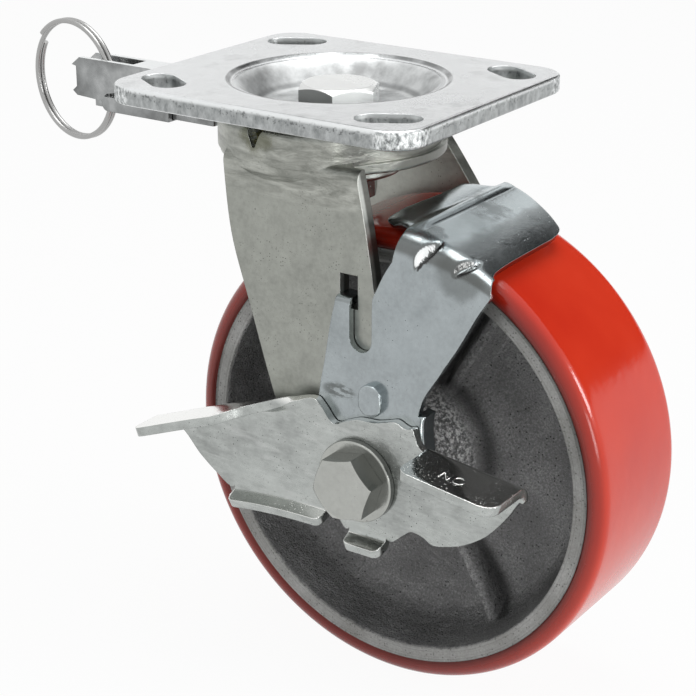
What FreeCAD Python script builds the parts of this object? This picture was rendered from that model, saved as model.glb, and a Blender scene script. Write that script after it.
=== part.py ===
"""Heavy-duty swivel castor: 6 x 2 inch wheel, kingpin swivel, side brake and swivel lock.

Millimetres. The origin is the centre of the top plate's mounting face, on the swivel axis.
+Z is up, the axle lies along Y, +X is the side to which the wheel trails, and -Y is the
side that carries the brake pedal.
"""
import FreeCAD, Part
import math
import os

Vec = FreeCAD.Vector

# Fits and clearances
sliding_gap = 0.3
running_gap = 0.05
ball_gap = 0.3
seat_gap = 0.02

# Wheel and its place under the plate
wheel_radius = 76.2
tread_width = 50.0
tread_depth = 7.4
tread_shoulder = 4.0
trail = 36.0
wheel_tuck = 1.68

# Top plate
plate_length = 113.2
plate_width = 99.0
plate_thickness = 6.0
plate_corner = 11.0
plate_edge_round = 1.2
slot_width = 11.1
slot_inset = (14.53, 13.78)
wide_pattern = (92.08, 66.68)
square_pattern = (76.2, 76.2)
dish_lip_radius = 35.4
dish_groove_width = 2.0
dish_groove_depth = 1.3
dish_floor_radius = 25.5
dish_floor_depth = 8.8
dish_floor_thickness = 6.2
dish_wall_radius = 30.2

# Kingpin, a 5/8 inch hexagon bolt, and its thin nut
kingpin_diameter = 15.88
kingpin_head_flats = 23.8
kingpin_head_height = 7.0
kingpin_head_turn = -4.3
kingpin_nut_height = 8.8
kingpin_tail = 1.6

# Main ball race, between the plate's dish and the fork's crown
race_ball = 6.35
race_pitch_radius = 27.6
race_ball_count = 22
race_wall_gap = 0.25

# Lower ball race, under the crown
lower_ball = 4.76
lower_pitch_radius = 15.2
lower_ball_count = 16
lower_cup_radius = 20.5
lower_cup_thickness = 2.4

# Fork: drawn crown, flange, shoulders and legs
crown_wall = 1.7
crown_rim_drop = 3.8
skirt_radius = 38.7
skirt_round = 2.2
skirt_front_open = 36.0
skirt_front_close = 62.0
flange_radius = 38.0
flange_front_radius = 34.6
flange_thickness = 3.4
flange_drop = 19.4
flange_round = 1.1
lug_radius = 42.0
lug_half_width = 10.0
shoulder_drop = 18.2
shoulder_bend = 4.2
shoulder_inset = 24.0
shoulder_blend_drop = 26.0
leg_thickness = 5.0
leg_corner_x = 31.6
leg_boss_radius = 17.0
loading_notch_width = 6.4
loading_notch_depth = 5.6
loading_notch_x = -5.4
window_width = 6.6
window_height = 10.8
window_x = 28.3
window_top_drop = 50.3

# Axle: a 1/2 inch hexagon bolt, lock nut, flat washer and spacer sleeve
axle_diameter = 12.7
axle_flats = 19.05
axle_head_height = 7.9
axle_nut_height = 11.0
axle_tail = 3.0
axle_washer_radius = 13.5
axle_washer_thickness = 2.4
sleeve_radius = 9.525
thrust_stack = 3.15
sleeve_bore_gap = 0.1

# Wheel core, a ribbed iron casting, and its roller bearing
core_rim_width = 48.6
core_rim_face = 6.2
core_rim_draft = 3.2
core_web = 7.0
hub_length = 55.6
hub_end_radius = 18.5
hub_root_radius = 26.0
hub_bore_radius = 15.08
rib_count = 3
rib_width = 5.0
rib_height = 9.0
rib_first_angle = 60.0
bearing_shell_wall = 0.8
bearing_inset = 1.8
roller_count = 12
roller_end_gap = 2.4
cage_ring_width = 1.8
thrust_washer_radius = 16.5

# Brake saddle, one pressed sheet
saddle_sheet = 2.5
shoe_lift = 2.8
shoe_bend = 6.5
shoe_far_y = 26.6
lip_length = 9.0
bead_radius = 2.0
bead_rise = 0.9
saddle_swing = 3.8
follower_width = 8.4
follower_height = 10.6
follower_x = 3.3
follower_low = 21.3
follower_rise = 2.9
saddle_slot_width = 8.2
saddle_slot_x = -1.6
saddle_slot_bottom = 40.8
saddle_tab_width = 4.5
saddle_tab_drop = 5.4
saddle_tab_round = 2.45
saddle_tab_reach = 9.0

# Brake pedal, a rocker of thicker sheet with two folded foot pads and two folded stiffeners
pedal_sheet = 3.0
pedal_inner_bend = 2.0
on_pad_width = 19.0
off_pad_width = 15.5
stiffener_width = 7.5
pad_corner = 5.0

# Swivel lock under the plate's back edge
lock_width = 10.5
lock_sheet = 1.8
lock_back = -107.0
lock_seat = 6.6
lock_depth = 14.3
lock_guide_front = -66.2
lock_guide_back = -95.7
lock_guide_bottom = 23.4
lock_slot_front = -82.4
tongue_height = 3.4
tongue_top_drop = 19.3
tongue_back = -101.0
tongue_travel = 10.5
ring_radius = 21.5
ring_wire = 1.8
ring_turn_gap = 0.15
ring_centre_x = -115.1
ring_centre_z = -16.3
ring_swing = -8.0
ring_hole_radius = 2.4

# Values that follow from the ones above
dish_underside = -(dish_floor_depth + dish_floor_thickness)
race_z = dish_underside - 0.9
crown_inner_radius = race_pitch_radius + race_ball / 2 + ball_gap + race_wall_gap
skirt_front_radius = crown_inner_radius + crown_wall
crown_top = -(plate_thickness + crown_rim_drop)
flange_low = -(flange_drop + flange_thickness)
crown_floor = race_z - 1.6
crown_bottom = flange_low
sleeve_length = hub_length + 2 * thrust_stack
bearing_length = hub_length - 2 * bearing_inset
leg_inner = sleeve_length / 2
leg_outer = leg_inner + leg_thickness
lower_race_z = crown_bottom - 1.5
cup_floor = lower_race_z - lower_ball / 2 - ball_gap
cup_bottom = cup_floor - lower_cup_thickness
kingpin_end = cup_bottom - kingpin_nut_height - kingpin_tail
axle_drop = wheel_radius - kingpin_end - wheel_tuck
axle_z = -axle_drop
saddle_inner = leg_outer + sliding_gap
saddle_outer = saddle_inner + saddle_sheet
pedal_inner = saddle_outer + sliding_gap
pedal_outer = pedal_inner + pedal_sheet
core_radius = wheel_radius - tread_depth
shoe_inner_radius = wheel_radius + shoe_lift
shoe_outer_radius = shoe_inner_radius + saddle_sheet
shell_inner_radius = hub_bore_radius - bearing_shell_wall
roller_radius = (shell_inner_radius - sleeve_radius - 2 * running_gap) / 2
roller_pitch = sleeve_radius + running_gap + roller_radius
follower_radius = follower_width / 2
lock_front = lock_seat - plate_length / 2
saddle_tab_top = axle_drop - window_top_drop - saddle_tab_drop
saddle_pivot_x = trail + saddle_slot_x - (saddle_slot_width + saddle_tab_width) / 2
saddle_pivot_z = axle_z + saddle_tab_top - saddle_sheet / 2
saddle_side_top = shoe_outer_radius - shoe_bend - 1.0
tongue_tip = -(math.hypot(leg_corner_x, leg_outer) + 2 * sliding_gap)


def at_axle(x, z):
    """A point of the XZ plane given from the axle's centre."""
    return (trail + x, axle_z + z)


def polar(radius, angle):
    """A point of the XZ plane given from the axle by radius and angle in degrees."""
    turn = math.radians(angle)
    return at_axle(radius * math.cos(turn), radius * math.sin(turn))


def wire_of(steps, to_vector):
    """Closed outline. A pair is reached by a straight edge, a list of pairs by a smooth curve."""
    edges = []
    first = to_vector(steps[0])
    here = first
    for step in steps[1:]:
        if isinstance(step, list):
            curve = Part.BSplineCurve()
            points = [here] + [to_vector(pair) for pair in step]
            curve.interpolate(points)
            edges.append(curve.toShape())
            here = points[-1]
        else:
            there = to_vector(step)
            edges.append(Part.makeLine(here, there))
            here = there
    if (here - first).Length > 1e-6:
        edges.append(Part.makeLine(here, first))
    return Part.Wire(edges)


def plate_xz(steps, y_from, y_to):
    """Outline in the XZ plane, given thickness along Y."""
    wire = wire_of(steps, lambda pair: Vec(pair[0], y_from, pair[1]))
    return Part.Face(wire).extrude(Vec(0, y_to - y_from, 0))


def turned(steps):
    """Section of radius and height, turned about the swivel axis."""
    wire = wire_of(steps, lambda pair: Vec(pair[0], 0, pair[1]))
    return Part.Face(wire).revolve(Vec(0, 0, 0), Vec(0, 0, 1), 360)


def turned_on_axle(steps, start=0.0, sweep=360.0):
    """Section of Y and radius, turned about the axle from a starting angle."""
    wire = wire_of(steps, lambda pair: Vec(pair[1], pair[0], 0))
    solid = Part.Face(wire).revolve(Vec(0, 0, 0), Vec(0, -1, 0), sweep)
    solid.rotate(Vec(0, 0, 0), Vec(0, -1, 0), start)
    solid.translate(Vec(trail, 0, axle_z))
    return solid


def rod_y(x, z, radius, y_from, y_to):
    """Round bar along Y."""
    return Part.makeCylinder(radius, y_to - y_from, Vec(x, y_from, z), Vec(0, 1, 0))


def rod_z(x, y, radius, z_from, z_to):
    """Round bar along Z."""
    return Part.makeCylinder(radius, z_to - z_from, Vec(x, y, z_from))


def box(x_from, x_to, y_from, y_to, z_from, z_to):
    """Block between two corners."""
    return Part.makeBox(x_to - x_from, y_to - y_from, z_to - z_from, Vec(x_from, y_from, z_from))


def hexagon(flats, height):
    """Hexagonal head standing on z = 0, its outer corners turned off at 30 degrees."""
    corner = flats / math.sqrt(3)
    points = [Vec(corner * math.cos(math.radians(60 * k)), corner * math.sin(math.radians(60 * k)), 0)
              for k in range(7)]
    prism = Part.Face(Part.makePolygon(points)).extrude(Vec(0, 0, height))
    flat = 0.95 * flats / 2
    drop = (corner - flat) * math.tan(math.radians(30))
    cone = turned([(0, 0), (corner + 0.01, 0), (corner + 0.01, height - drop), (flat, height), (0, height)])
    return prism.common(cone)


def along_axle(solid, y, turn=0.0):
    """Stands a part made on z = 0 on the axle line, pointing to -Y, with its base at y."""
    solid.rotate(Vec(0, 0, 0), Vec(0, 0, 1), turn)
    solid.rotate(Vec(0, 0, 0), Vec(1, 0, 0), 90)
    solid.translate(Vec(trail, y, axle_z))
    return solid


def slotted_hole(sign_x, sign_y):
    """Slot that joins a hole of the wide pattern to one of the square pattern."""
    centre = Vec(sign_x * (plate_length / 2 - slot_inset[0]), sign_y * (plate_width / 2 - slot_inset[1]),
                 -2 * plate_thickness)
    run = Vec(sign_x * (square_pattern[0] - wide_pattern[0]) / 2,
              sign_y * (square_pattern[1] - wide_pattern[1]) / 2, 0)
    outer = centre - run / 2
    inner = centre + run / 2
    radius = slot_width / 2
    height = 3 * plate_thickness
    side = Vec(-run.y, run.x, 0).normalize() * radius
    middle = Part.Face(Part.makePolygon([outer + side, inner + side, inner - side, outer - side,
                                         outer + side])).extrude(Vec(0, 0, height))
    ends = [Part.makeCylinder(radius, height, point) for point in (outer, inner)]
    return middle.multiFuse(ends).removeSplitter()


def top_plate():
    """Pressed plate: four slots, a dished centre, and the upper race under the dish."""
    half_x = plate_length / 2
    half_y = plate_width / 2
    plate = box(-half_x, half_x, -half_y, half_y, -plate_thickness, 0)
    corners = [e for e in plate.Edges if abs(e.Vertexes[0].Z - e.Vertexes[1].Z) > 1]
    plate = plate.makeFillet(plate_corner, corners)
    rim = [e for e in plate.Edges if abs(e.BoundBox.ZLength) < 1e-6]
    plate = plate.makeFillet(plate_edge_round, rim)
    slope = dish_wall_radius + 4.0
    dish = turned([(0, -1), (slope, -plate_thickness), (slope, -plate_thickness - 0.4),
                   (dish_wall_radius, -plate_thickness - 3.0), (dish_wall_radius, race_z),
                   (dish_floor_radius - 1.0, dish_underside), (0, dish_underside)])
    race = Part.makeTorus(race_pitch_radius, race_ball / 2 + ball_gap, Vec(0, 0, race_z))
    trim = turned([(race_pitch_radius, race_z), (dish_wall_radius + 5, race_z),
                   (dish_wall_radius + 5, race_z - 8), (race_pitch_radius - 4, race_z - 8)])
    lip = dish_lip_radius
    crest = lip - 1.4 * dish_groove_width
    recess = turned([(0, 1), (lip, 1), (lip, 0),
                     [(lip - 0.5 * dish_groove_width, -0.7 * dish_groove_depth),
                      (lip - dish_groove_width, -dish_groove_depth), (crest, -0.8 * dish_groove_depth)],
                     [(crest - 1.2, -0.2 * dish_floor_depth), (dish_floor_radius + 3.0, -0.56 * dish_floor_depth),
                      (dish_floor_radius, -0.92 * dish_floor_depth)],
                     (dish_floor_radius - 2.0, -dish_floor_depth), (0, -dish_floor_depth)])
    hole = rod_z(0, 0, kingpin_diameter / 2 + seat_gap, -40, 5)
    plate = plate.fuse(dish).cut(recess)
    plate = plate.cut(race.fuse(trim)).cut(hole)
    slots = [slotted_hole(sx, sy) for sx in (-1, 1) for sy in (-1, 1)]
    return plate.cut(slots[0].multiFuse(slots[1:])).removeSplitter()


def kingpin_bolt():
    """Hexagon bolt, its head sunk in the dish and its shank through both races."""
    head = hexagon(kingpin_head_flats, kingpin_head_height)
    head.rotate(Vec(0, 0, 0), Vec(0, 0, 1), kingpin_head_turn)
    head.translate(Vec(0, 0, -dish_floor_depth))
    shank = rod_z(0, 0, kingpin_diameter / 2, kingpin_end, -dish_floor_depth)
    end = [e for e in shank.Edges if e.BoundBox.ZMax < kingpin_end + 0.01]
    return head.fuse(shank.makeChamfer(1.0, end)).removeSplitter()


def kingpin_nut():
    """Thin nut that draws the two races together, with a turned face against the cup."""
    nut = hexagon(kingpin_head_flats, kingpin_nut_height)
    nut.rotate(Vec(0, 0, 0), Vec(1, 0, 0), 180)
    nut.translate(Vec(0, 0, cup_bottom))
    return nut.cut(rod_z(0, 0, kingpin_diameter / 2 + seat_gap, -90, 0))


def lower_race_cup():
    """Pressed cup under the crown that carries the lower balls."""
    inner = kingpin_diameter / 2 + seat_gap
    cup = turned([(inner, cup_bottom), (lower_cup_radius, cup_bottom),
                  (lower_cup_radius, lower_race_z), (lower_cup_radius - lower_cup_thickness, lower_race_z),
                  (lower_cup_radius - lower_cup_thickness, cup_floor), (lower_pitch_radius - 4.6, cup_floor),
                  (lower_pitch_radius - 4.6, lower_race_z - 0.4), (inner, lower_race_z - 0.4)])
    edge = [e for e in cup.Edges if e.BoundBox.ZMax < cup_bottom + 0.01 and e.BoundBox.XMax > lower_cup_radius - 1]
    return cup.makeFillet(1.2, edge)


def ball_ring(count, pitch_radius, diameter, height, first=0.0):
    """Balls of one race, each its own solid."""
    balls = []
    for k in range(count):
        turn = math.radians(first + 360.0 * k / count)
        place = Vec(pitch_radius * math.cos(turn), pitch_radius * math.sin(turn), height)
        balls.append(Part.makeSphere(diameter / 2, place))
    return Part.makeCompound(balls)


def smooth_step(value):
    """Rises smoothly from 0 to 1 as the value does."""
    part = min(max(value, 0.0), 1.0)
    return part * part * (3 - 2 * part)


def plan_outline(front_radius, back_radius, z_from, z_to):
    """Round plate whose radius is smaller over the front, where the wheel runs under it."""
    points = []
    for k in range(48):
        angle = 7.5 * k
        from_front = min(angle, 360.0 - angle)
        share = smooth_step((from_front - skirt_front_open) / (skirt_front_close - skirt_front_open))
        radius = front_radius + (back_radius - front_radius) * share
        turn = math.radians(angle)
        points.append(Vec(radius * math.cos(turn), radius * math.sin(turn), z_from))
    curve = Part.BSplineCurve()
    curve.interpolate(points, PeriodicFlag=True)
    face = Part.Face(Part.Wire([curve.toShape()]))
    return face.extrude(Vec(0, 0, z_to - z_from))


def crown_skirt():
    """Wall round the main race, drawn wide at the sides and back, with a rounded top edge."""
    wall = plan_outline(skirt_front_radius, skirt_radius, -flange_drop - 1, crown_top)
    top = [e for e in wall.Edges if e.BoundBox.ZMin > crown_top - 0.01]
    return wall.makeFillet(skirt_round, top)


def crown_bulge(side):
    """Cone in which the skirt runs out into the face of a leg."""
    top = -flange_drop + 0.6
    cone = turned([(0, top), (skirt_radius - 0.4, top), (flange_radius + 0.2, flange_low),
                   (leg_outer - 0.2, -shoulder_blend_drop), (0, -shoulder_blend_drop)])
    near, far = sorted((side * (leg_inner + 0.6), side * 60))
    return cone.common(box(-60, 60, near, far, -60, 0))


def crown_flange():
    """Flange round the foot of the crown, with the lug that the swivel lock enters."""
    flange = plan_outline(flange_front_radius, flange_radius, flange_low, -flange_drop)
    low_edge = [e for e in flange.Edges if e.BoundBox.ZMax < flange_low + 0.01]
    flange = flange.makeFillet(flange_round, low_edge)
    lug = rod_z(0, 0, lug_radius, flange_low, -flange_drop)
    lug = lug.common(box(-lug_radius - 1, 0, -lug_half_width, lug_half_width, -90, 0))
    return flange.fuse(lug)


def tongue_notch():
    """Notch in the lug that the tongue enters at the end of its travel."""
    depth = -tongue_tip - tongue_travel - sliding_gap
    half = lock_width / 2 - lock_sheet
    return box(-lug_radius - 5, -depth, -half, half, flange_low - 1, -tongue_top_drop + sliding_gap)


def leg_rear_edge():
    """Rear edge, the same on both legs, from below upwards."""
    return [at_axle(-42.0, 35.0), at_axle(-44.9, 44.5), at_axle(-48.4, 55.4), at_axle(-51.7, 66.4),
            at_axle(-54.1, 82.3), at_axle(-55.2, axle_drop - shoulder_drop)]


def leg_front_edge(side):
    """Front edge from above downwards: the leg that carries the brake is wider at the top."""
    if side < 0:
        return [(30.6, -shoulder_drop), (32.4, -26.3), (35.3, -41.3), (37.3, -53.7)]
    return [(15.6, -shoulder_drop), (21.0, -24.7), (27.6, -33.4), (33.6, -42.4), (37.3, -53.7)]


def fork_leg(side):
    """One leg, and the shoulder at its top that bends in to the flange."""
    front = leg_front_edge(side)
    steps = [front[0], front[1:],
             [at_axle(6.0, 43.0), at_axle(10.8, 25.0), at_axle(14.4, 12.0), polar(leg_boss_radius, 12)],
             [polar(leg_boss_radius, -30), polar(leg_boss_radius, -75), polar(leg_boss_radius + 1, -115)],
             [at_axle(-20.0, -7.0), at_axle(-30.0, 7.0), at_axle(-36.5, 18.1)], leg_rear_edge()]
    inner = min(side * leg_inner, side * leg_outer)
    leg = plate_xz(steps, inner, inner + leg_thickness)
    start = min(side * shoulder_inset, side * leg_outer)
    shelf = plate_xz(steps, start, start + leg_outer - shoulder_inset)
    shelf = shelf.common(box(-80, 80, -60, 60, flange_low, 0))
    relief = Part.Face(Part.makePolygon([Vec(25.0, side * 20, flange_low - 1), Vec(24.0, side * 27.5, flange_low - 1),
                                         Vec(leg_corner_x, side * (leg_outer + 0.5), flange_low - 1),
                                         Vec(60, side * (leg_outer + 0.5), flange_low - 1), Vec(60, side * 20, flange_low - 1),
                                         Vec(25.0, side * 20, flange_low - 1)])).extrude(Vec(0, 0, 10))
    joined = leg.fuse(shelf.cut(relief.cut(box(-80, 80, *sorted((side * leg_inner, side * 60)), -90, 0))))
    joined = joined.removeSplitter()
    bend = [e for e in joined.Edges if e.BoundBox.ZMin > -shoulder_drop - 0.01
            and abs(abs(e.BoundBox.Center.y) - leg_outer) < 0.01 and e.BoundBox.XLength > 10]
    joined = joined.makeFillet(shoulder_bend, bend)
    return joined.cut(rod_y(trail, axle_z, axle_diameter / 2 + sleeve_bore_gap, -60, 60))


def fork():
    """Yoke pressed from thick sheet: crown, flange, and two legs on bent shoulders."""
    pieces = [crown_skirt(), crown_flange()]
    for side in (-1, 1):
        pieces.append(crown_bulge(side))
        pieces.append(fork_leg(side))
    body = pieces[0].multiFuse(pieces[1:])
    cavity = turned([(kingpin_diameter / 2 + 1.6, crown_bottom - 1), (kingpin_diameter / 2 + 1.6, crown_floor),
                     (crown_inner_radius, crown_floor), (crown_inner_radius, 0), (0, 0), (0, crown_bottom - 1)])
    main_race = Part.makeTorus(race_pitch_radius, race_ball / 2 + ball_gap, Vec(0, 0, race_z))
    low_race = Part.makeTorus(lower_pitch_radius, lower_ball / 2 + ball_gap, Vec(0, 0, lower_race_z))
    half = loading_notch_width / 2
    notch = plate_xz([(loading_notch_x - half, crown_top + 0.1), (loading_notch_x + half, crown_top + 0.1),
                      (loading_notch_x + 0.6, crown_top - loading_notch_depth),
                      (loading_notch_x - 0.6, crown_top - loading_notch_depth)], -60, -crown_inner_radius + 4)
    window_low = -window_top_drop - window_height
    window = box(window_x - window_width / 2, window_x + window_width / 2, -leg_outer - 1, -leg_inner + 1,
                 window_low, -window_top_drop)
    body = body.cut(cavity.multiFuse([main_race, low_race]))
    return body.cut(notch).cut(window).cut(tongue_notch())


def axle_bolt():
    """Hexagon bolt through pedal, saddle, fork and wheel; its head is outside the pedal."""
    head = along_axle(hexagon(axle_flats, axle_head_height), -(pedal_outer + axle_washer_thickness), 12)
    shank_end = leg_outer + axle_washer_thickness + axle_nut_height + axle_tail
    start = -(pedal_outer + axle_washer_thickness)
    shank = rod_y(trail, axle_z, axle_diameter / 2, start, shank_end)
    end = [e for e in shank.Edges if e.BoundBox.YMin > shank_end - 0.01]
    return head.fuse(shank.makeChamfer(1.0, end)).removeSplitter()


def axle_nut():
    """Lock nut on the far side, its collar turned round."""
    collar = 3.2
    nut = hexagon(axle_flats, axle_nut_height - collar)
    ring = turned([(0, 0), (0.44 * axle_flats, 0), (0.44 * axle_flats, axle_nut_height - 0.8),
                   (0.44 * axle_flats - 0.8, axle_nut_height), (0, axle_nut_height)])
    nut = nut.fuse(ring).cut(rod_z(0, 0, axle_diameter / 2 + seat_gap, -1, axle_nut_height + 1))
    nut = nut.removeSplitter()
    nut.rotate(Vec(0, 0, 0), Vec(1, 0, 0), -90)
    nut.translate(Vec(trail, leg_outer + axle_washer_thickness, axle_z))
    return nut


def axle_washer(y_from):
    """Flat washer with softened edges; one lies under the bolt's head, one under the nut."""
    inner = axle_diameter / 2 + seat_gap
    disc = rod_y(trail, axle_z, axle_washer_radius, y_from, y_from + axle_washer_thickness)
    disc = disc.makeFillet(0.5, [e for e in disc.Edges if len(e.Vertexes) == 1])
    return disc.cut(rod_y(trail, axle_z, inner, -80, 80))


def axle_sleeve():
    """Spacer sleeve clamped between the legs; the rollers run on it."""
    sleeve = rod_y(trail, axle_z, sleeve_radius, -sleeve_length / 2, sleeve_length / 2)
    return sleeve.cut(rod_y(trail, axle_z, axle_diameter / 2 + seat_gap, -60, 60))


def thrust_washers():
    """Thrust washers on the sleeve between the hub and the legs."""
    rings = []
    start = hub_length / 2 + sliding_gap
    for side in (-1, 1):
        near, far = sorted((side * start, side * leg_inner))
        ring = rod_y(trail, axle_z, thrust_washer_radius, near, far)
        rings.append(ring.cut(rod_y(trail, axle_z, sleeve_radius + running_gap, -60, 60)))
    return Part.makeCompound(rings)


def core_half_section():
    """Section of the casting from its middle plane to one face, as Y and radius."""
    half = core_rim_width / 2
    web = core_web / 2
    inner = core_radius - core_rim_face
    return [(0, core_radius), (half, core_radius), (half, inner),
            [(half - 3, inner - 0.6), (web + 9, inner - core_rim_draft), (web + 2.6, inner - core_rim_draft - 3.6),
             (web + 0.4, inner - core_rim_draft - 9.5)],
            [(web + 0.8, 40.0), (web + 3.4, 33.0), (web + 8.0, hub_root_radius)],
            [(web + 14.0, hub_end_radius + 3.2), (hub_length / 2 - 1.0, hub_end_radius)],
            (hub_length / 2, hub_end_radius - 1.0), (hub_length / 2, hub_bore_radius), (0, hub_bore_radius)]


def wheel_core():
    """Cast wheel centre: rim, dished web, tapered hub and three ribs on each face."""
    half = core_half_section()
    solid = turned_on_axle(half)
    mirror = solid.mirror(Vec(0, 0, 0), Vec(0, 1, 0))
    pieces = [solid, mirror]
    low = core_web / 2 - 1
    high = core_web / 2 + rib_height
    for side in (-1, 1):
        for k in range(rib_count):
            angle = rib_first_angle + 360.0 * k / rib_count + (0 if side < 0 else 180.0 / rib_count)
            rib = box(hub_end_radius + 1, core_radius - 3, low, high, -rib_width / 2, rib_width / 2)
            top = [e for e in rib.Edges if e.BoundBox.YMin > high - 0.01 and e.BoundBox.XLength > 10]
            rib = rib.makeFillet(rib_width * 0.42, top)
            if side < 0:
                rib = rib.mirror(Vec(0, 0, 0), Vec(0, 1, 0))
            rib.rotate(Vec(0, 0, 0), Vec(0, -1, 0), angle)
            rib.translate(Vec(trail, 0, axle_z))
            pieces.append(rib)
    return pieces[0].multiFuse(pieces[1:]).removeSplitter()


def wheel_tread():
    """Cast tyre bonded to the core, with rounded shoulders and a small inner bevel."""
    half = tread_width / 2
    s = tread_shoulder
    mid = 0.29 * s
    steps = [(-half, core_radius + 1.0), (-half, wheel_radius - s),
             [(-half + mid, wheel_radius - mid), (-half + s, wheel_radius)],
             (half - s, wheel_radius),
             [(half - mid, wheel_radius - mid), (half, wheel_radius - s)],
             (half, core_radius + 1.0), (core_rim_width / 2, core_radius), (-core_rim_width / 2, core_radius)]
    return turned_on_axle(steps)


def bearing_shell():
    """Hardened shell pressed into the hub."""
    shell = rod_y(trail, axle_z, hub_bore_radius, -bearing_length / 2, bearing_length / 2)
    return shell.cut(rod_y(trail, axle_z, shell_inner_radius, -60, 60))


def bearing_rollers():
    """Straight rollers round the sleeve."""
    half = bearing_length / 2 - roller_end_gap
    rollers = []
    for k in range(roller_count):
        x, z = polar(roller_pitch, 360.0 * k / roller_count)
        rollers.append(rod_y(x, z, roller_radius, -half, half))
    return Part.makeCompound(rollers)


def cage_rings():
    """Plain rings that keep the rollers between the shell's ends."""
    start = bearing_length / 2 - cage_ring_width
    rings = []
    for side in (-1, 1):
        near = min(side * start, side * bearing_length / 2)
        ring = rod_y(trail, axle_z, shell_inner_radius - 2 * running_gap, near, near + cage_ring_width)
        rings.append(ring.cut(rod_y(trail, axle_z, sleeve_radius + sliding_gap, -60, 60)))
    return Part.makeCompound(rings)


def shoe_plan(low_radius, high_radius):
    """Plan outline of the shoe, cut straight through towards the axle."""
    middle = math.radians(72.0)
    outward = Vec(math.cos(middle), 0, math.sin(middle))
    along = Vec(math.sin(middle), 0, -math.cos(middle))
    centre = Vec(trail, 0, axle_z)

    def place(pair):
        return centre + outward * low_radius + along * pair[0] + Vec(0, pair[1], 0)

    side = -saddle_outer - 1
    steps = [(-15.3, side), (21.5, side), (20.6, -saddle_outer + 1.5),
             [(17.6, -33.6), (15.1, -28.4)], [(14.1, -17.0), (13.9, 3.7)],
             [(13.6, 11.6), (12.0, 15.2), (9.4, 17.1)], [(2.1, 20.7), (-14.7, shoe_far_y)],
             [(-20.0, shoe_far_y - 1.6), (-25.0, shoe_far_y - 5.1)], (-25.0, -33.0), (-15.3, -35.0)]
    face = Part.Face(wire_of(steps, place))
    return face.extrude(outward * (high_radius - low_radius))


def saddle_shoe():
    """Top of the saddle: curved shoe over the tread, bent down at the side, with lip and bead."""
    bend = shoe_bend
    inner_bend = bend - saddle_sheet
    y_out = -saddle_outer
    y_in = -saddle_inner
    top = shoe_outer_radius
    under = shoe_inner_radius
    k_out = bend * (1 - math.sqrt(0.5))
    k_in = inner_bend * (1 - math.sqrt(0.5))
    low = top - bend - 5.0
    section = [(y_out, low), (y_out, top - bend), [(y_out + k_out, top - k_out), (y_out + bend, top)],
               (shoe_far_y + 1, top), (shoe_far_y + 1, under), (y_in + inner_bend, under),
               [(y_in + k_in, under - k_in), (y_in, under - inner_bend)], (y_in, low)]
    first = 56.0
    last = 83.0
    angle_iron = turned_on_axle(section, first, last - first)
    here = polar(top, last)
    below = polar(under, last)
    run = math.radians(last)
    step = (-math.sin(run) * lip_length, math.cos(run) * lip_length)
    lip = plate_xz([below, here, (here[0] + step[0], here[1] + step[1]),
                    (below[0] + step[0], below[1] + step[1])], -40, 40)
    x, z = polar(top - bead_radius + bead_rise, last - 0.4)
    bead = rod_y(x, z, bead_radius, y_out + bend, 40)
    plan = shoe_plan(under - 19.0, top + 13.5)
    return angle_iron.multiFuse([lip, bead]).common(plan)


def saddle_side():
    """Flat side of the saddle, outside the fork's near leg."""
    s_left = saddle_slot_x - saddle_slot_width / 2
    s_right = saddle_slot_x + saddle_slot_width / 2
    s_mid = saddle_slot_bottom + saddle_slot_width / 2
    cos45 = math.sqrt(0.5) * saddle_slot_width / 2
    tab_left = s_left - saddle_tab_width
    steps = [at_axle(tab_left, saddle_tab_top), at_axle(s_left, saddle_tab_top), at_axle(s_left, s_mid),
             [at_axle(saddle_slot_x - cos45, s_mid - cos45), at_axle(saddle_slot_x, saddle_slot_bottom),
              at_axle(saddle_slot_x + cos45, s_mid - cos45), at_axle(s_right, s_mid)],
             at_axle(s_right, 58.0),
             [at_axle(4.0, 62.4), at_axle(6.6, 69.0), polar(saddle_side_top, 83.0)], polar(saddle_side_top, 57.6),
             [at_axle(33.6, 50.9), at_axle(26.9, 39.9), at_axle(20.4, 28.5), at_axle(18.6, 19.8)],
             [at_axle(19.4, 10.0), at_axle(17.5, -3.0), at_axle(10.0, -13.5)],
             [at_axle(0.0, -16.5), at_axle(-11.0, -12.5), at_axle(-17.8, 0.0), at_axle(-18.0, 12.0)],
             [at_axle(-17.0, 24.0), at_axle(-14.8, 36.0), at_axle(-12.6, 48.5)]]
    return plate_xz(steps, -saddle_outer, -saddle_inner)


def saddle_follower():
    """Raised boss that the pedal's cam edge moves; it stands out past the pedal's sheet."""
    low = follower_low + follower_radius
    high = follower_low + follower_height - follower_radius
    ends = []
    y_out = -saddle_outer - follower_rise
    for height in (low, high):
        x, z = at_axle(follower_x, height)
        ends.append(rod_y(x, z, follower_radius, y_out, -saddle_outer + 0.5))
    x, z = at_axle(follower_x, low)
    block = box(x - follower_radius, x + follower_radius, y_out, -saddle_outer + 0.5, z, z + high - low)
    boss = ends[0].multiFuse([ends[1], block]).removeSplitter()
    face_edges = [e for e in boss.Edges if e.BoundBox.YMax < y_out + 0.01]
    return boss.makeFillet(0.9, face_edges)


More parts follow.
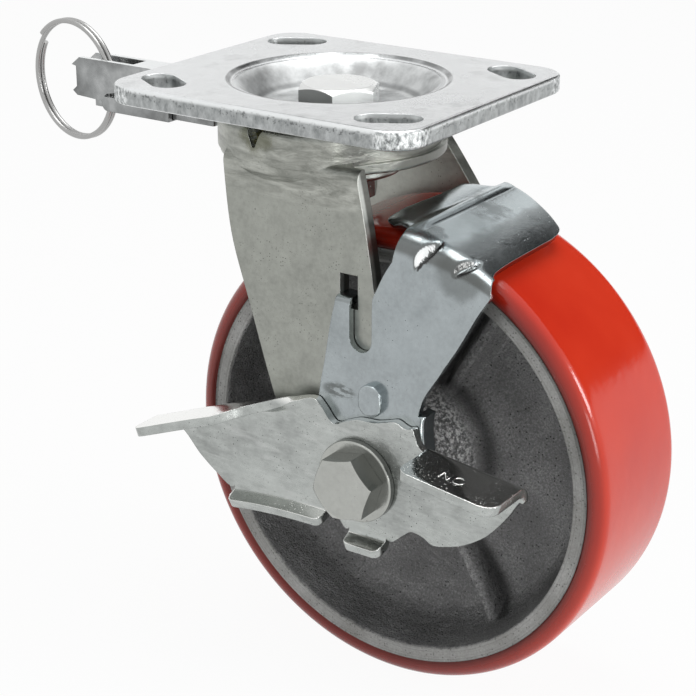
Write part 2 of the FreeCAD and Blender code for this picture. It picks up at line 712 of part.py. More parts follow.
def saddle_axle_slot():
    """Slot that lets the saddle rock about its tab without touching the axle bolt."""
    clear = axle_diameter / 2 + sliding_gap
    swing = math.radians(saddle_swing)
    across = trail - saddle_pivot_x
    down = axle_z - saddle_pivot_z
    x_end = saddle_pivot_x + across * math.cos(swing) - down * math.sin(swing)
    z_end = saddle_pivot_z + across * math.sin(swing) + down * math.cos(swing)
    aside = Vec(axle_z - z_end, 0, x_end - trail).normalize() * clear
    middle = plate_xz([(trail + aside.x, axle_z + aside.z), (x_end + aside.x, z_end + aside.z),
                       (x_end - aside.x, z_end - aside.z), (trail - aside.x, axle_z - aside.z)], -60, 0)
    ends = [rod_y(trail, axle_z, clear, -60, 0), rod_y(x_end, z_end, clear, -60, 0)]
    return middle.multiFuse(ends)


def brake_saddle():
    """Side plate, shoe, guide tab through the fork's window, follower boss and front flange."""
    x_tab, z_tab = at_axle(saddle_slot_x - saddle_slot_width / 2 - saddle_tab_width, saddle_tab_top)
    tab = box(x_tab, x_tab + saddle_tab_width, -saddle_outer, -saddle_outer + saddle_tab_reach,
              z_tab - saddle_sheet, z_tab)
    tab = tab.common(rod_y(saddle_pivot_x, saddle_pivot_z, saddle_tab_round, -60, 0))
    x_fl, z_fl = at_axle(18.2, 11.5)
    flange = box(x_fl, x_fl + saddle_sheet, -saddle_outer, -saddle_outer + 7.0, z_fl, z_fl + 13.0)
    body = saddle_side().multiFuse([saddle_shoe(), saddle_follower(), tab, flange])
    return body.cut(saddle_axle_slot()).removeSplitter()


def folded_flange(start, end, width, lean, corner):
    """Flange folded outwards from the pedal's sheet along a line in the XZ plane.

    start and end are the ends of the fold on the flange's upper face, width is its reach
    past the sheet and lean tips its outer edge down, in degrees.
    """
    run = Vec(end[0] - start[0], 0, end[1] - start[1])
    length = run.Length
    sheet = pedal_sheet
    radius = pedal_inner_bend
    outer = radius + sheet
    k_out = outer * (1 - math.sqrt(0.5))
    k_in = radius * (1 - math.sqrt(0.5))
    section = [(0, -outer - 1.0), (0, -outer), [(-k_out, -k_out), (-outer, 0)],
               (-sheet - width, 0), (-sheet - width, -sheet), (-outer, -sheet),
               [(-sheet - k_in, -sheet - k_in), (-sheet, -outer)], (-sheet, -outer - 1.0)]
    wire = wire_of(section, lambda pair: Vec(0, pair[0], pair[1]))
    flange = Part.Face(wire).extrude(Vec(length, 0, 0))
    outer_corners = [e for e in flange.Edges
                     if abs(e.BoundBox.ZLength - sheet) < 0.01 and e.BoundBox.YMax < -sheet - width + 0.01
                     and e.BoundBox.XLength < 0.01]
    flange = flange.makeFillet(corner, outer_corners)
    flange.rotate(Vec(0, -sheet, -outer), Vec(1, 0, 0), lean)
    slope = math.degrees(math.atan2(run.z, run.x))
    flange.rotate(Vec(0, 0, 0), Vec(0, -1, 0), slope)
    flange.translate(Vec(start[0], -pedal_inner, start[1]))
    return flange


def pedal_sheet_outline():
    """Flat sheet of the pedal: cam edge above the hub, two arms, and the lower edge."""
    steps = [at_axle(-76.0, 1.2), at_axle(-41.3, 14.0),
             [at_axle(-33.3, 19.0), at_axle(-24.0, 22.0), at_axle(-16.6, 23.2)],
             at_axle(-14.0, 21.0), at_axle(-9.4, 16.4), at_axle(-5.2, 18.1),
             [at_axle(0.0, 19.9), at_axle(5.0, 20.2), at_axle(9.5, 21.4), at_axle(13.0, 22.4)],
             at_axle(17.2, 21.0), at_axle(19.4, 21.6),
             [at_axle(21.6, 16.6), at_axle(26.4, 14.0)], at_axle(57.4, 9.6),
             [at_axle(52.7, 1.1), at_axle(44.5, -7.9), at_axle(35.0, -13.2), at_axle(27.5, -15.0)],
             [at_axle(23.5, -13.2), at_axle(20.0, -12.6), at_axle(16.6, -14.8)],
             [at_axle(12.0, -18.2), at_axle(4.0, -19.4), at_axle(-4.5, -18.4)],
             [at_axle(-8.5, -14.0), at_axle(-11.5, -12.8)], at_axle(-46.0, -15.0), at_axle(-49.6, -16.0),
             [at_axle(-56.4, -12.2), at_axle(-62.6, -7.6), at_axle(-70.6, 0.0)]]
    return plate_xz(steps, -pedal_outer, -pedal_inner)


def brake_pedal():
    """Rocker on the axle bolt, with an ON pad at the front and a release pad at the back."""
    on_pad = folded_flange(at_axle(25.6, 17.4), at_axle(58.2, 12.9), on_pad_width, 0.0, pad_corner)
    off_pad = folded_flange(at_axle(-79.0, 2.9), at_axle(-41.0, 17.0), off_pad_width, 0.0, pad_corner)
    body = pedal_sheet_outline().multiFuse([on_pad, off_pad])
    body = body.fuse(lower_stiffener(-48.6, -11.8, -15.4, -12.6))
    body = body.fuse(lower_stiffener(-3.4, 10.4, -17.6, -17.6))
    return body.cut(rod_y(trail, axle_z, axle_diameter / 2 + running_gap, -80, 0)).removeSplitter()


def lower_stiffener(x_from, x_to, z_from, z_to):
    """Edge turned outwards and down along the pedal's lower side."""
    run = math.hypot(x_to - x_from, z_to - z_from)
    lift = pedal_inner_bend + pedal_sheet
    reach = stiffener_width
    section = [(0, 1.5), (0, 0), [(-1.0, -2.6), (-2.6, -3.8)], (-reach, -5.6), (-reach - 0.9, -3.0),
               [(-pedal_sheet - 1.4, -1.2), (-pedal_sheet, 0.8)], (-pedal_sheet, lift - 2.0), (0, lift - 2.0)]
    wire = wire_of(section, lambda pair: Vec(0, pair[0], pair[1]))
    strip = Part.Face(wire).extrude(Vec(run, 0, 0))
    strip.rotate(Vec(0, 0, 0), Vec(0, -1, 0), math.degrees(math.atan2(z_to - z_from, x_to - x_from)))
    x, z = at_axle(x_from, z_from)
    strip.translate(Vec(x, -pedal_inner, z))
    return strip


def lock_housing():
    """Folded channel under the plate's back edge that guides the tongue."""
    half = lock_width / 2
    top = -plate_thickness
    guide_low = -lock_guide_bottom
    back = lock_back
    side = [(back + 1.6, top), (lock_front, top), (lock_front, top - 8.0), (lock_guide_front, top - 8.0),
            (lock_guide_front, guide_low), (lock_guide_back + 2.4, guide_low),
            [(lock_guide_back + 0.7, guide_low + 0.7), (lock_guide_back, guide_low + 2.4)],
            (lock_guide_back - 0.2, top - lock_depth + 0.3), (back, top - lock_depth + 0.9),
            (back - 1.9, top - lock_depth + 2.4), (back, top - lock_depth + 4.0),
            (back, top - 3.2), (back - 1.9, top - 2.8)]
    wall = [plate_xz(side, sign * half if sign < 0 else half - lock_sheet,
                     -half + lock_sheet if sign < 0 else half) for sign in (-1, 1)]
    slit = plate_xz([(lock_guide_back + 0.8, top - 12.4), (lock_guide_back + 2.4, top - 11.2),
                     (lock_slot_front, top - 9.2), (lock_guide_front - 4.0, top - 9.2),
                     (lock_guide_front - 4.0, top - 12.4)], -half - 1, half + 1)
    roof = box(lock_slot_front, lock_front, -half, half, top - lock_sheet, top)
    floor = box(lock_slot_front, lock_guide_front, -half, half, guide_low, guide_low + 0.4)
    body = wall[0].multiFuse([wall[1], roof, floor])
    return body.cut(slit)


def lock_tongue():
    """Sliding bolt: its front end enters the lug's notch, its back end carries the ring."""
    half = lock_width / 2 - lock_sheet - sliding_gap
    top = -tongue_top_drop
    bar = box(tongue_back, tongue_tip, -half, half, top - tongue_height, top)
    corners = [e for e in bar.Edges if e.BoundBox.ZLength > 1]
    bar = bar.makeFillet(0.8, corners)
    hole = rod_z(ring_pivot_x(), 0, ring_hole_radius, top - tongue_height - 1, top + 1)
    return bar.cut(hole)


def ring_pivot_x():
    """Where the ring's wire passes through the tongue's hole."""
    mean = ring_radius - ring_wire / 2
    height = ring_centre_z + tongue_top_drop + tongue_height / 2
    return ring_centre_x + math.sqrt(mean * mean - height * height)


def lock_ring():
    """Split ring of two close turns, swung a little about the tongue's hole."""
    mean = ring_radius - ring_wire / 2
    pitch = ring_wire + ring_turn_gap
    helix = Part.makeHelix(pitch, 1.96 * pitch, mean)
    section = Part.makeCircle(ring_wire / 2, Vec(mean, 0, 0), Vec(0, 1, 0))
    ring = Part.Wire(helix.Edges).makePipeShell([Part.Wire([section])], True, True)
    ring.translate(Vec(0, 0, -0.98 * pitch))
    ring.rotate(Vec(0, 0, 0), Vec(0, 0, 1), 150)
    ring.rotate(Vec(0, 0, 0), Vec(1, 0, 0), 90)
    ring.translate(Vec(ring_centre_x, 0, ring_centre_z))
    ring.rotate(Vec(ring_pivot_x(), 0, 0), Vec(0, 0, 1), ring_swing)
    return ring


os.makedirs("parts", exist_ok=True)


def save(name, shape):
    """Writes one piece and prints how many solids it holds and whether they are sound."""
    shape.exportStep("parts/" + name + ".step")
    print(name, len(shape.Solids), "valid" if shape.isValid() else "NOT VALID", round(shape.Volume))


save("top_plate", top_plate())
save("kingpin_bolt", kingpin_bolt())
save("kingpin_nut", kingpin_nut())
save("lower_race_cup", lower_race_cup())
save("upper_ball_set", ball_ring(race_ball_count, race_pitch_radius, race_ball, race_z, 6.0))
save("lower_ball_set", ball_ring(lower_ball_count, lower_pitch_radius, lower_ball, lower_race_z))
save("fork", fork())
save("axle_bolt", axle_bolt())
save("axle_nut", axle_nut())
save("axle_head_washer", axle_washer(-pedal_outer - axle_washer_thickness))
save("axle_nut_washer", axle_washer(leg_outer))
save("axle_sleeve", axle_sleeve())
save("thrust_washers", thrust_washers())
save("wheel_core", wheel_core())
save("wheel_tread", wheel_tread())
save("bearing_shell", bearing_shell())
save("bearing_rollers", bearing_rollers())
save("bearing_cage_rings", cage_rings())
save("brake_saddle", brake_saddle())
save("brake_pedal", brake_pedal())
save("lock_housing", lock_housing())
save("lock_tongue", lock_tongue())
save("lock_ring", lock_ring())
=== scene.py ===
# %% [markdown]
# # A swivel castor, dressed for a studio photograph
# The castor is zinc-plated pressed steel round a cast iron wheel with a glossy red tyre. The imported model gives
# every piece its place. This file gives the pieces their finish, and rebuilds the few whose soft curves show most:
# the tyre, the ribbed casting, the pressed brake saddle and the brake pedal.

# %% Load the frame
import math

import bmesh
import bpy
import numpy as np
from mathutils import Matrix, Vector


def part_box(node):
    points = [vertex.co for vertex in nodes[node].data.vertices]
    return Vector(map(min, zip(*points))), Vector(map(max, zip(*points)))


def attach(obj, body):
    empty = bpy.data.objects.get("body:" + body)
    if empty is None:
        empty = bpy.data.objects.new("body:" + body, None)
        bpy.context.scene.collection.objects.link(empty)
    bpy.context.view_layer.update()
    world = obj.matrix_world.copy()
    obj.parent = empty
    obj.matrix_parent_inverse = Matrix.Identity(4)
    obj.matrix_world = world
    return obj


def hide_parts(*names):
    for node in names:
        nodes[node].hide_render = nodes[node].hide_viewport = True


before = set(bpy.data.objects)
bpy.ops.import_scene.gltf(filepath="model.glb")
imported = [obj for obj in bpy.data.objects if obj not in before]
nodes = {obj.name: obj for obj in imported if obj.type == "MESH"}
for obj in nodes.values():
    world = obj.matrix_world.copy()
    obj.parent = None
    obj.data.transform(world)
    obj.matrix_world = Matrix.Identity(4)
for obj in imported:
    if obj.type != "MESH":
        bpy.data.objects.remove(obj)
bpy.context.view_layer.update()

# %% [markdown]
# ## Sizes
# Everything is in metres, and the places that matter come from the frame: the tyre's box gives the axle and the
# wheel's radius, and further on the head washer's box gives the plane of the pedal's sheet.

# %% Sizes taken from the frame
MM = 0.001


def corners(node):
    """Lowest and highest corner of a node as arrays."""
    low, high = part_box(node)
    return np.array(low), np.array(high)


tyre_low, tyre_high = corners("wheel_tread")
axle = (tyre_low + tyre_high) / 2
wheel_radius = (tyre_high[2] - tyre_low[2]) / 2
tyre_half = (tyre_high[1] - tyre_low[1]) / 2
print("axle", axle.round(4), "wheel radius", round(wheel_radius, 4))

# %% [markdown]
# ## Shader maths in plain Python
# A wrapped socket lets a material be written as a formula: `speckle * 0.3 + 0.5` adds its own Math nodes. Any other
# node comes from one method, `node`, which sets the node's own settings first and its sockets after them.


# %% Sockets as numbers
def operator(operation, swapped=False):
    """Method that works out one operation with a Math node."""
    def method(self, other):
        pair = [other, self] if swapped else [self, other]
        return self.tree.node("ShaderNodeMath", {"operation": operation}, pair)
    return method


class Value:
    """A shader socket that can be added, subtracted, multiplied, raised to a power and made positive."""

    __add__ = __radd__ = operator("ADD")
    __mul__ = __rmul__ = operator("MULTIPLY")
    __sub__, __rsub__ = operator("SUBTRACT"), operator("SUBTRACT", swapped=True)
    __pow__ = operator("POWER")

    def __init__(self, tree, socket):
        self.tree, self.socket = tree, socket

    def maths(self, operation, *others):
        return self.tree.node("ShaderNodeMath", {"operation": operation}, [self, *others])

    def other(self, output):
        """Another output of the node that this one comes from."""
        return Value(self.tree, self.socket.node.outputs[output])

    def __abs__(self):
        return self.maths("ABSOLUTE")

    def steps(self, low, high, to_low=0.0, to_high=1.0):
        """Runs smoothly from to_low to to_high as this value goes from low to high."""
        settings = {"interpolation_type": "SMOOTHSTEP"}
        return self.tree.node("ShaderNodeMapRange", settings, [self, low, high, to_low, to_high])


def length(first, second):
    """Length of a vector whose two parts are sockets."""
    return (first * first + second * second) ** 0.5


class Tree:
    """A node tree, whose nodes are all added by one method."""

    def __init__(self, owner):
        owner.use_nodes = True
        self.nodes, self.links = owner.node_tree.nodes, owner.node_tree.links

    def node(self, kind, settings, inputs, output=0):
        """Adds a node: settings first, then its sockets by order or by name; returns one output."""
        made = self.nodes.new(kind)
        for key, value in settings.items():
            setattr(made, key, value)
        for key, value in inputs.items() if isinstance(inputs, dict) else enumerate(inputs):
            socket = made.inputs[key]
            if isinstance(value, Value):
                self.links.new(value.socket, socket)
            elif value is not None:
                socket.default_value = (*value, 1) if socket.type == "RGBA" else value
        return Value(self, made.outputs[output])


class Finish(Tree):
    """A material under construction: its shader, and short names for common textures."""

    def __init__(self, name, colour, roughness, metallic=0.0, coat=0.0):
        self.material = bpy.data.materials.new(name)
        super().__init__(self.material)
        self.shader = self.nodes["Principled BSDF"]
        plain = {"Base Color": (*colour, 1), "Roughness": roughness, "Metallic": metallic, "Coat Weight": coat}
        for socket, value in plain.items():
            self.shader.inputs[socket].default_value = value
        self.place = self.node("ShaderNodeTexCoord", {}, [], "Object")

    def noise(self, per_metre, detail=3.0, rough=0.5, stretch=(1, 1, 1), distort=0.0):
        """Even noise about 0.5, with so many lumps to the metre, stretched along the axes."""
        where = self.node("ShaderNodeMapping", {}, {"Vector": self.place, "Scale": stretch})
        sockets = {"Vector": where, "Scale": per_metre, "Detail": detail, "Roughness": rough, "Distortion": distort}
        return self.node("ShaderNodeTexNoise", {}, sockets, "Fac")

    def pits(self, per_metre, size=0.3, share=0.5):
        """1 inside small round pits: cells whose centre is near, kept only in a share of the cells."""
        sockets = {"Vector": self.place, "Scale": per_metre, "Randomness": 1.0}
        near = self.node("ShaderNodeTexVoronoi", {}, sockets, "Distance")
        pick = self.node("ShaderNodeSeparateColor", {}, [near.other("Color")], "Red")
        return near.steps(size * 0.5, size, 1.0, 0.0) * pick.maths("LESS_THAN", share)

    def ramp(self, factor, stops):
        """Colour that runs through stops, pairs of position and colour, as factor rises."""
        made = self.node("ShaderNodeValToRGB", {}, [factor], "Color")
        elements = made.socket.node.color_ramp.elements
        while len(elements) < len(stops):
            elements.new(0.5)
        for element, (position, colour) in zip(elements, stops):
            element.position = position
            element.color = (*colour, 1)
        return made

    def mix(self, factor, first, second):
        """Colour between first and second."""
        settings = {"data_type": "RGBA", "clamp_factor": True}
        return self.node("ShaderNodeMix", settings, {0: factor, 6: first, 7: second}, 2)

    def layers(self, colour, *coats):
        """Colour under coats, each a pair of share and colour laid over what is below it."""
        for share, coat in coats:
            colour = self.mix(share, colour, coat)
        return colour

    def part(self, letter, source=None):
        """One axis of the object's own coordinates, or of another vector."""
        return self.node("ShaderNodeSeparateXYZ", {}, [source or self.place], letter)

    def from_axle(self):
        """Distances from the axle along X and Z."""
        return self.part("X") - float(axle[0]), self.part("Z") - float(axle[2])

    def facing(self, letter):
        """How far the surface faces along an axis, from -1 to 1."""
        normal = self.node("ShaderNodeNewGeometry", {}, [], "Normal")
        return self.part(letter, normal)

    def set(self, socket, value):
        self.links.new(value.socket, self.shader.inputs[socket])

    def relief(self, *layers, edge=0.0):
        """Bumps stacked from pairs of height and depth in metres, over softened edges if edge is given."""
        normal = None
        if edge:
            normal = self.node("ShaderNodeBevel", {"samples": 6}, {"Radius": edge})
        for height, depth in layers:
            sockets = {"Height": height, "Distance": depth, "Strength": 1.0, "Normal": normal}
            normal = self.node("ShaderNodeBump", {}, sockets)
        if normal:
            self.set("Normal", normal)


# %% [markdown]
# ## Zinc plate on steel
# Pressed and plated steel is bright but never a mirror. Its colour wanders a little between warm and cool, tumbling
# leaves short scratches and small dark pits, and the plating is duller where the sheet was drawn. All of that is
# one function, so each piece can have its own tint, gloss and amount of wear.


# %% Plated steel
def grey(level):
    """Colour without a tint."""
    return (level, level, level)


def zinc(name, tint, roughness, pits=0.25, mottle=0.12, streak=(1, 1, 1), edge=0.0005, grain=0.00002, extra=None):
    """Zinc-plated sheet: tint is its middle colour, pits the share of cells pitted, and streak stretches the grain.

    extra may take the finish, its colour and its roughness, and return the last two changed, with a list of reliefs.
    """
    f = Finish(name, tint, roughness, metallic=1.0)
    cloud = f.noise(34, 4, 0.6)
    blotch = f.noise(150, 4, 0.65)
    fine = f.noise(620, 3, 0.6, streak)
    gathered = f.noise(75, 3, 0.6).steps(0.47, 0.6)
    pit = f.pits(1150, 0.27, pits) * gathered
    small = f.pits(2300, 0.34, pits * 0.8) * blotch.steps(0.4, 0.6)
    dark = tuple(c * (1 - mottle * 1.5) for c in tint)
    pale = tuple(min(1.0, c * (1 + mottle * 1.2)) for c in tint)
    base = f.ramp(cloud * 0.45 + blotch * 0.3 + fine * 0.25, [(0.36, dark), (0.5, tint), (0.64, pale)])
    colour = f.mix(pit * 0.7 + small * 0.35, base, tuple(c * 0.2 for c in tint))
    dull = cloud.steps(0.3, 0.7, roughness * 0.85, roughness * 1.15) + fine * 0.1 + pit * 0.2 - 0.05
    reliefs = []
    if extra:
        colour, dull, reliefs = extra(f, colour, dull)
    f.set("Base Color", colour)
    f.set("Roughness", dull)
    f.relief((blotch, grain * 4), (fine, grain), (1 - pit - small * 0.5, 0.00006), *reliefs, edge=edge)
    return f.material


# %% Marks of the plate, the bolts, the crown and the lock
GROOVE, DISH_FOOT = 0.0351, 0.0258
NOTCH_X, NOTCH_Z = -0.0045, -0.012


def plate_marks(f, colour, dull):
    """Cut edges bright along the top, a row of specks, torn corners, a duller dish, dark rings in groove and foot."""
    side = abs(f.facing("Z")).steps(0.85, 0.5)
    radius, height = length(f.part("X"), f.part("Y")), f.part("Z")
    shown = side * radius.steps(0.045, 0.0475)
    corner = radius.steps(0.066, 0.0685)
    torn = f.noise(760, 5, 0.75, (1, 1, 0.6))
    bright, dirty = (0.85, 0.87, 0.87), (0.1, 0.105, 0.105)
    speckled = f.ramp(torn, [(0.36, dirty), (0.47, (0.42, 0.44, 0.44)), (0.6, bright)])
    row = height.steps(-0.0006, -0.0014) * height.steps(-0.0038, -0.0028)
    specks = f.noise(1000, 3, 0.7).steps(0.56, 0.63) * row
    scored = f.ramp(f.noise(420, 4, 0.7, (1, 1, 0.5)),
                    [(0.35, (0.27, 0.285, 0.285)), (0.5, (0.39, 0.405, 0.405)), (0.66, (0.5, 0.52, 0.52))])
    scored = f.mix(height.steps(-0.0019, -0.0008) * 0.9, scored, bright)
    plain = f.mix(specks * 0.7, scored, dirty)
    smudged = f.facing("Z").steps(0.9, 0.97) * radius.steps(0.036, 0.039)
    smudged = smudged * (f.noise(55, 5, 0.7).steps(0.5, 0.7) * 0.3 + f.noise(1100, 2).steps(0.66, 0.72) * 0.3)
    dish = radius.steps(0.0345, 0.031)
    clouded = f.ramp(f.noise(110, 4, 0.65),
                     [(0.38, (0.28, 0.285, 0.285)), (0.5, (0.42, 0.43, 0.43)), (0.64, (0.56, 0.57, 0.57))])
    # darker rings along the groove round the dish and at the dish's foot, broken up by noise
    ring_variation = f.noise(90, 3).steps(0.3, 0.6, 0.5, 1)
    groove = abs(radius - GROOVE).steps(0.0011, 0.0004) * ring_variation
    foot = abs(radius - DISH_FOOT).steps(0.0014, 0.0003) * ring_variation
    colour = f.layers(colour, (smudged, (0.3, 0.31, 0.31)), (dish * 0.85, clouded),
                      (groove * 0.85 + foot * 0.6, (0.09, 0.095, 0.095)), (shown, f.mix(corner, plain, speckled)))
    return colour, dull + shown * 0.14 + dish * 0.26, [(torn * shown * (corner * 0.8 + 0.2), 0.0003)]


def head_painted_light(f, colour, dull):
    """Painted light on the head's top; painted shade on sides facing the lock, painted highlight on the rest."""
    # painted light: the up-facing top is near white; the side faces run from painted shade at -X to painted highlight
    # at +X
    up = f.facing("Z").steps(0.7, 0.95)
    flats = f.ramp(f.facing("X") + 0.5, [(0.3, grey(0.07)), (0.55, (0.3, 0.31, 0.3)), (0.8, (0.85, 0.86, 0.85))])
    return f.mix(up, flats, (0.92, 0.93, 0.92)), dull + 0.06, []


def bolt_painted_shade(f, colour, dull):
    """Painted shade on the sides round the axle bolt's head; its end faces towards -Y keep the plain colour."""
    # painted shade: every face not turned towards -Y is darkened
    outward = f.facing("Y").steps(-0.3, -0.6)
    return f.mix(outward, (0.2, 0.205, 0.195), colour), dull, []


def crown_wear_and_painted_light(f, colour, dull):
    """Dragged metal round the crown, oil round the loading notch, and painted light on the legs' front faces."""
    across, along, height = f.part("X"), f.part("Y"), f.part("Z")
    high = height.steps(-0.034, -0.026) * across.steps(0.034, 0.03)
    drawn = f.noise(130, 5, 0.72, (0.6, 0.6, 2.4), 0.5)
    streaked = f.ramp(drawn, [(0.36, (0.11, 0.115, 0.1)), (0.5, (0.34, 0.345, 0.315)), (0.64, (0.66, 0.67, 0.62))])
    aside, below = across - NOTCH_X, height - NOTCH_Z
    from_notch = (aside * aside * 0.5 + below * below) ** 0.5
    oily = (from_notch + f.noise(260, 4) * 0.008).steps(0.0105, 0.0065) * along.steps(-0.02, -0.03)
    # painted highlight on the outer part of the legs' front faces, painted shade on their inner part
    front = f.facing("X").steps(0.8, 0.95)
    outer = abs(along).steps(0.0333, 0.0345)
    colour = f.layers(colour, (high * (0.28 + across.steps(-0.02, 0.02) * 0.2), streaked),
                      (oily * 0.6, (0.07, 0.072, 0.03)),
                      (front * 0.7, f.mix(outer, (0.12, 0.12, 0.11), (0.8, 0.82, 0.78))))
    return colour, dull - oily * 0.12, [(drawn * high, 0.0005)]


def lock_cloud_and_painted_light(f, colour, dull):
    """Painted light makes the top bright; its sides are clouded."""
    cloud = f.noise(60, 4, 0.65)
    sides = f.ramp(cloud, [(0.35, (0.2, 0.205, 0.205)), (0.52, (0.33, 0.34, 0.34)), (0.68, (0.5, 0.51, 0.51))])
    # painted light: faces turned up are near white
    return f.mix(f.facing("Z").steps(0.5, 0.85), sides, (0.86, 0.88, 0.88)), dull, []


def pedal_rubs_and_painted_light(f, colour, dull):
    """Painted light brightens the up-facing pads, polished by boots; the web between is duller and clouded."""
    # painted light: faces turned up are near white; the rubbed streaks are real wear
    up = f.facing("Z").steps(0.6, 0.9)
    rubbed = f.noise(300, 3, 0.6, (0.2, 1, 1)).steps(0.55, 0.75)
    return f.layers(colour, (up, (0.88, 0.885, 0.86)), (rubbed * 0.25, (0.7, 0.71, 0.7))), dull - up * 0.12, []


# %% Marks of the saddle
RUB_X, RUB_Z = -0.0095, 0.0265
DART_X, DART_Z = 0.0318, 0.0725
PER_SHOE_RADIUS = 13.2


def saddle_wear_and_painted_light(f, colour, dull):
    """Painted light and shade on shoe, bend, front and darts; a scraped patch where the pedal rubs; rubbed spots."""
    across, up = f.from_axle()
    ahead, outward, top = f.facing("X"), f.facing("Y"), f.facing("Z")
    patch = ((across - RUB_X) * 140.0) ** 2.0 + ((up - RUB_Z) * 330.0) ** 2.0
    scrape = patch.steps(0.3, 1.0, 1.0, 0.0) * f.noise(420, 4, 0.7, (0.5, 1, 1.6)).steps(0.42, 0.56)
    # painted light: faces turned up get a brighter, bluish colour
    level = top.steps(0.5, 0.8)
    spots = level * f.noise(62, 3, 0.55).steps(0.56, 0.66) * 0.6
    high = up.steps(0.052, 0.06)
    # painted dark reflection in a band round the roll, between the side and the shoe
    bend = outward.steps(-0.985, -0.9) * outward.steps(-0.42, -0.66) * high
    pressed = high * outward.steps(-0.15, -0.35)
    # tilt is how far a dart's wall turns forwards, past what the plain roll faces there
    tilt = ahead - across * PER_SHOE_RADIUS * (1 - outward * outward) ** 0.5
    from_dart = length(across - DART_X, up - DART_Z)
    # painted highlight on dart walls turned forwards, near white at the middle and broken up around it; painted shade
    # on walls turned back
    highlight_middle = from_dart.steps(0.0115, 0.0075)
    rubbed = (from_dart + f.noise(200, 3) * 0.005).steps(0.0125, 0.0085) * high
    broken_highlight = f.ramp(f.noise(620, 3, 0.7), [(0.42, grey(0.1)), (0.52, (0.5, 0.51, 0.5)), (0.6, (0.95, 0.95, 0.94))])
    # painted shade on faces turned forwards and up
    front = ahead.steps(0.3, 0.37) * top.steps(0.6, 0.8)
    colour = f.layers(
        colour, (level, (0.5, 0.555, 0.57)), (bend * 0.8, (0.12, 0.125, 0.12)), (rubbed * 0.5, (0.1, 0.105, 0.1)),
        (tilt.steps(0.26, 0.4) * pressed, f.mix(highlight_middle, (0.92, 0.94, 0.94), broken_highlight)),
        (tilt.steps(-0.14, -0.36) * pressed, grey(0.05)), (front * 0.5, (0.2, 0.22, 0.23)),
        (scrape * 0.6, (0.06, 0.062, 0.055)), (spots, (0.16, 0.18, 0.185)))
    return colour, dull + scrape * 0.2 + spots * 0.12, []


# %% [markdown]
# ## Finishes of the pieces
# The photograph shows several kinds of zinc: the top plate almost white, the fork warm and pitted, the saddle cool
# and smooth, the pedal streaked along its length. The bolts are satin, and the ring and lock a plain grey.

# %% One finish for each piece
plate_finish = zinc("plate zinc", (0.76, 0.775, 0.78), 0.24, pits=0.1, mottle=0.05, extra=plate_marks)
fork_finish = zinc("fork zinc", (0.335, 0.345, 0.315), 0.36, pits=0.4, mottle=0.16, extra=crown_wear_and_painted_light)
cup_finish = zinc("cup zinc", (0.4, 0.41, 0.38), 0.34, pits=0.3, mottle=0.13)
saddle_finish = zinc("saddle zinc", (0.36, 0.395, 0.405), 0.22, pits=0.12, mottle=0.12, extra=saddle_wear_and_painted_light)
pedal_finish = zinc("pedal zinc", (0.42, 0.44, 0.425), 0.26, pits=0.3, mottle=0.2, streak=(0.3, 1, 1),
                    extra=pedal_rubs_and_painted_light)
bolt_finish = zinc("bolt zinc", (0.42, 0.43, 0.405), 0.22, pits=0.12, mottle=0.08, edge=0.0008, extra=bolt_painted_shade)
head_finish = zinc("kingpin zinc", (0.42, 0.43, 0.42), 0.24, pits=0.12, mottle=0.06, edge=0.0008, extra=head_painted_light)
lock_finish = zinc("lock zinc", (0.33, 0.34, 0.34), 0.3, pits=0.12, mottle=0.07, extra=lock_cloud_and_painted_light)
ring_finish = zinc("ring steel", (0.4, 0.4, 0.395), 0.32, pits=0.0, mottle=0.04, edge=0.0001, grain=0.000004)
bearing_finish = zinc("bearing steel", grey(0.5), 0.2, pits=0.0, mottle=0.04)


# %% Greased balls and the moulded cage
def grease():
    """Steel under a film of green grease: dull olive with a wet coat."""
    f = Finish("greased ball", (0.12, 0.13, 0.05), 0.25, metallic=0.4, coat=0.6)
    smear = f.noise(260, 4)
    film = [(0.35, (0.05, 0.055, 0.015)), (0.55, (0.2, 0.2, 0.08)), (0.7, (0.5, 0.5, 0.4))]
    f.set("Base Color", f.ramp(smear, film))
    f.relief((smear, 0.0002))
    return f.material


def moulded():
    """Matt black moulding with a fine grain."""
    f = Finish("moulded black", grey(0.03), 0.55)
    f.relief((f.noise(1500), 0.00005))
    return f.material


grease_finish = grease()
cage_finish = moulded()


# %% [markdown]
# ## Red polyurethane
# The tyre is poured plastic with a wet gloss. It is one colour, with painted shade on its shoulders and side walls,
# darkest next to the iron. A faint orange-peel in the skin breaks the reflections up.


# %% The tyre's material
def polyurethane():
    """Glossy red plastic with soft cloudiness, an orange-peel skin, and painted shade on its walls and by the iron."""
    f = Finish("red polyurethane", (0.68, 0.04, 0.014), 0.16)
    radius = length(*f.from_axle())
    cloud = f.noise(22, 3)
    scuff = f.noise(700, 4, 0.7, (1, 0.2, 1))
    red = f.ramp(cloud, [(0.3, (0.54, 0.026, 0.01)), (0.55, (0.61, 0.038, 0.014)), (0.75, (0.67, 0.05, 0.02))])
    # painted shade: darkest next to the iron, where the tyre meets the casting
    painted_shade_by_iron = (radius + f.noise(240, 3) * 0.001).steps(0.0742, 0.0707)
    # painted shade on the shoulders' outer part and the side walls
    wall = abs(f.part("Y")).steps(0.0222, 0.0244)
    f.set("Base Color", f.layers(red, (wall * 0.45, (0.25, 0.008, 0.004)), (painted_shade_by_iron * 0.7, (0.1, 0.022, 0.018))))
    f.set("Roughness", cloud.steps(0.3, 0.7, 0.13, 0.19) + scuff.steps(0.62, 0.75, 0.0, 0.1) + painted_shade_by_iron * 0.3)
    f.relief((f.noise(130, 2), 0.0001), (scuff, 0.00001))
    return f.material


tread_finish = polyurethane()
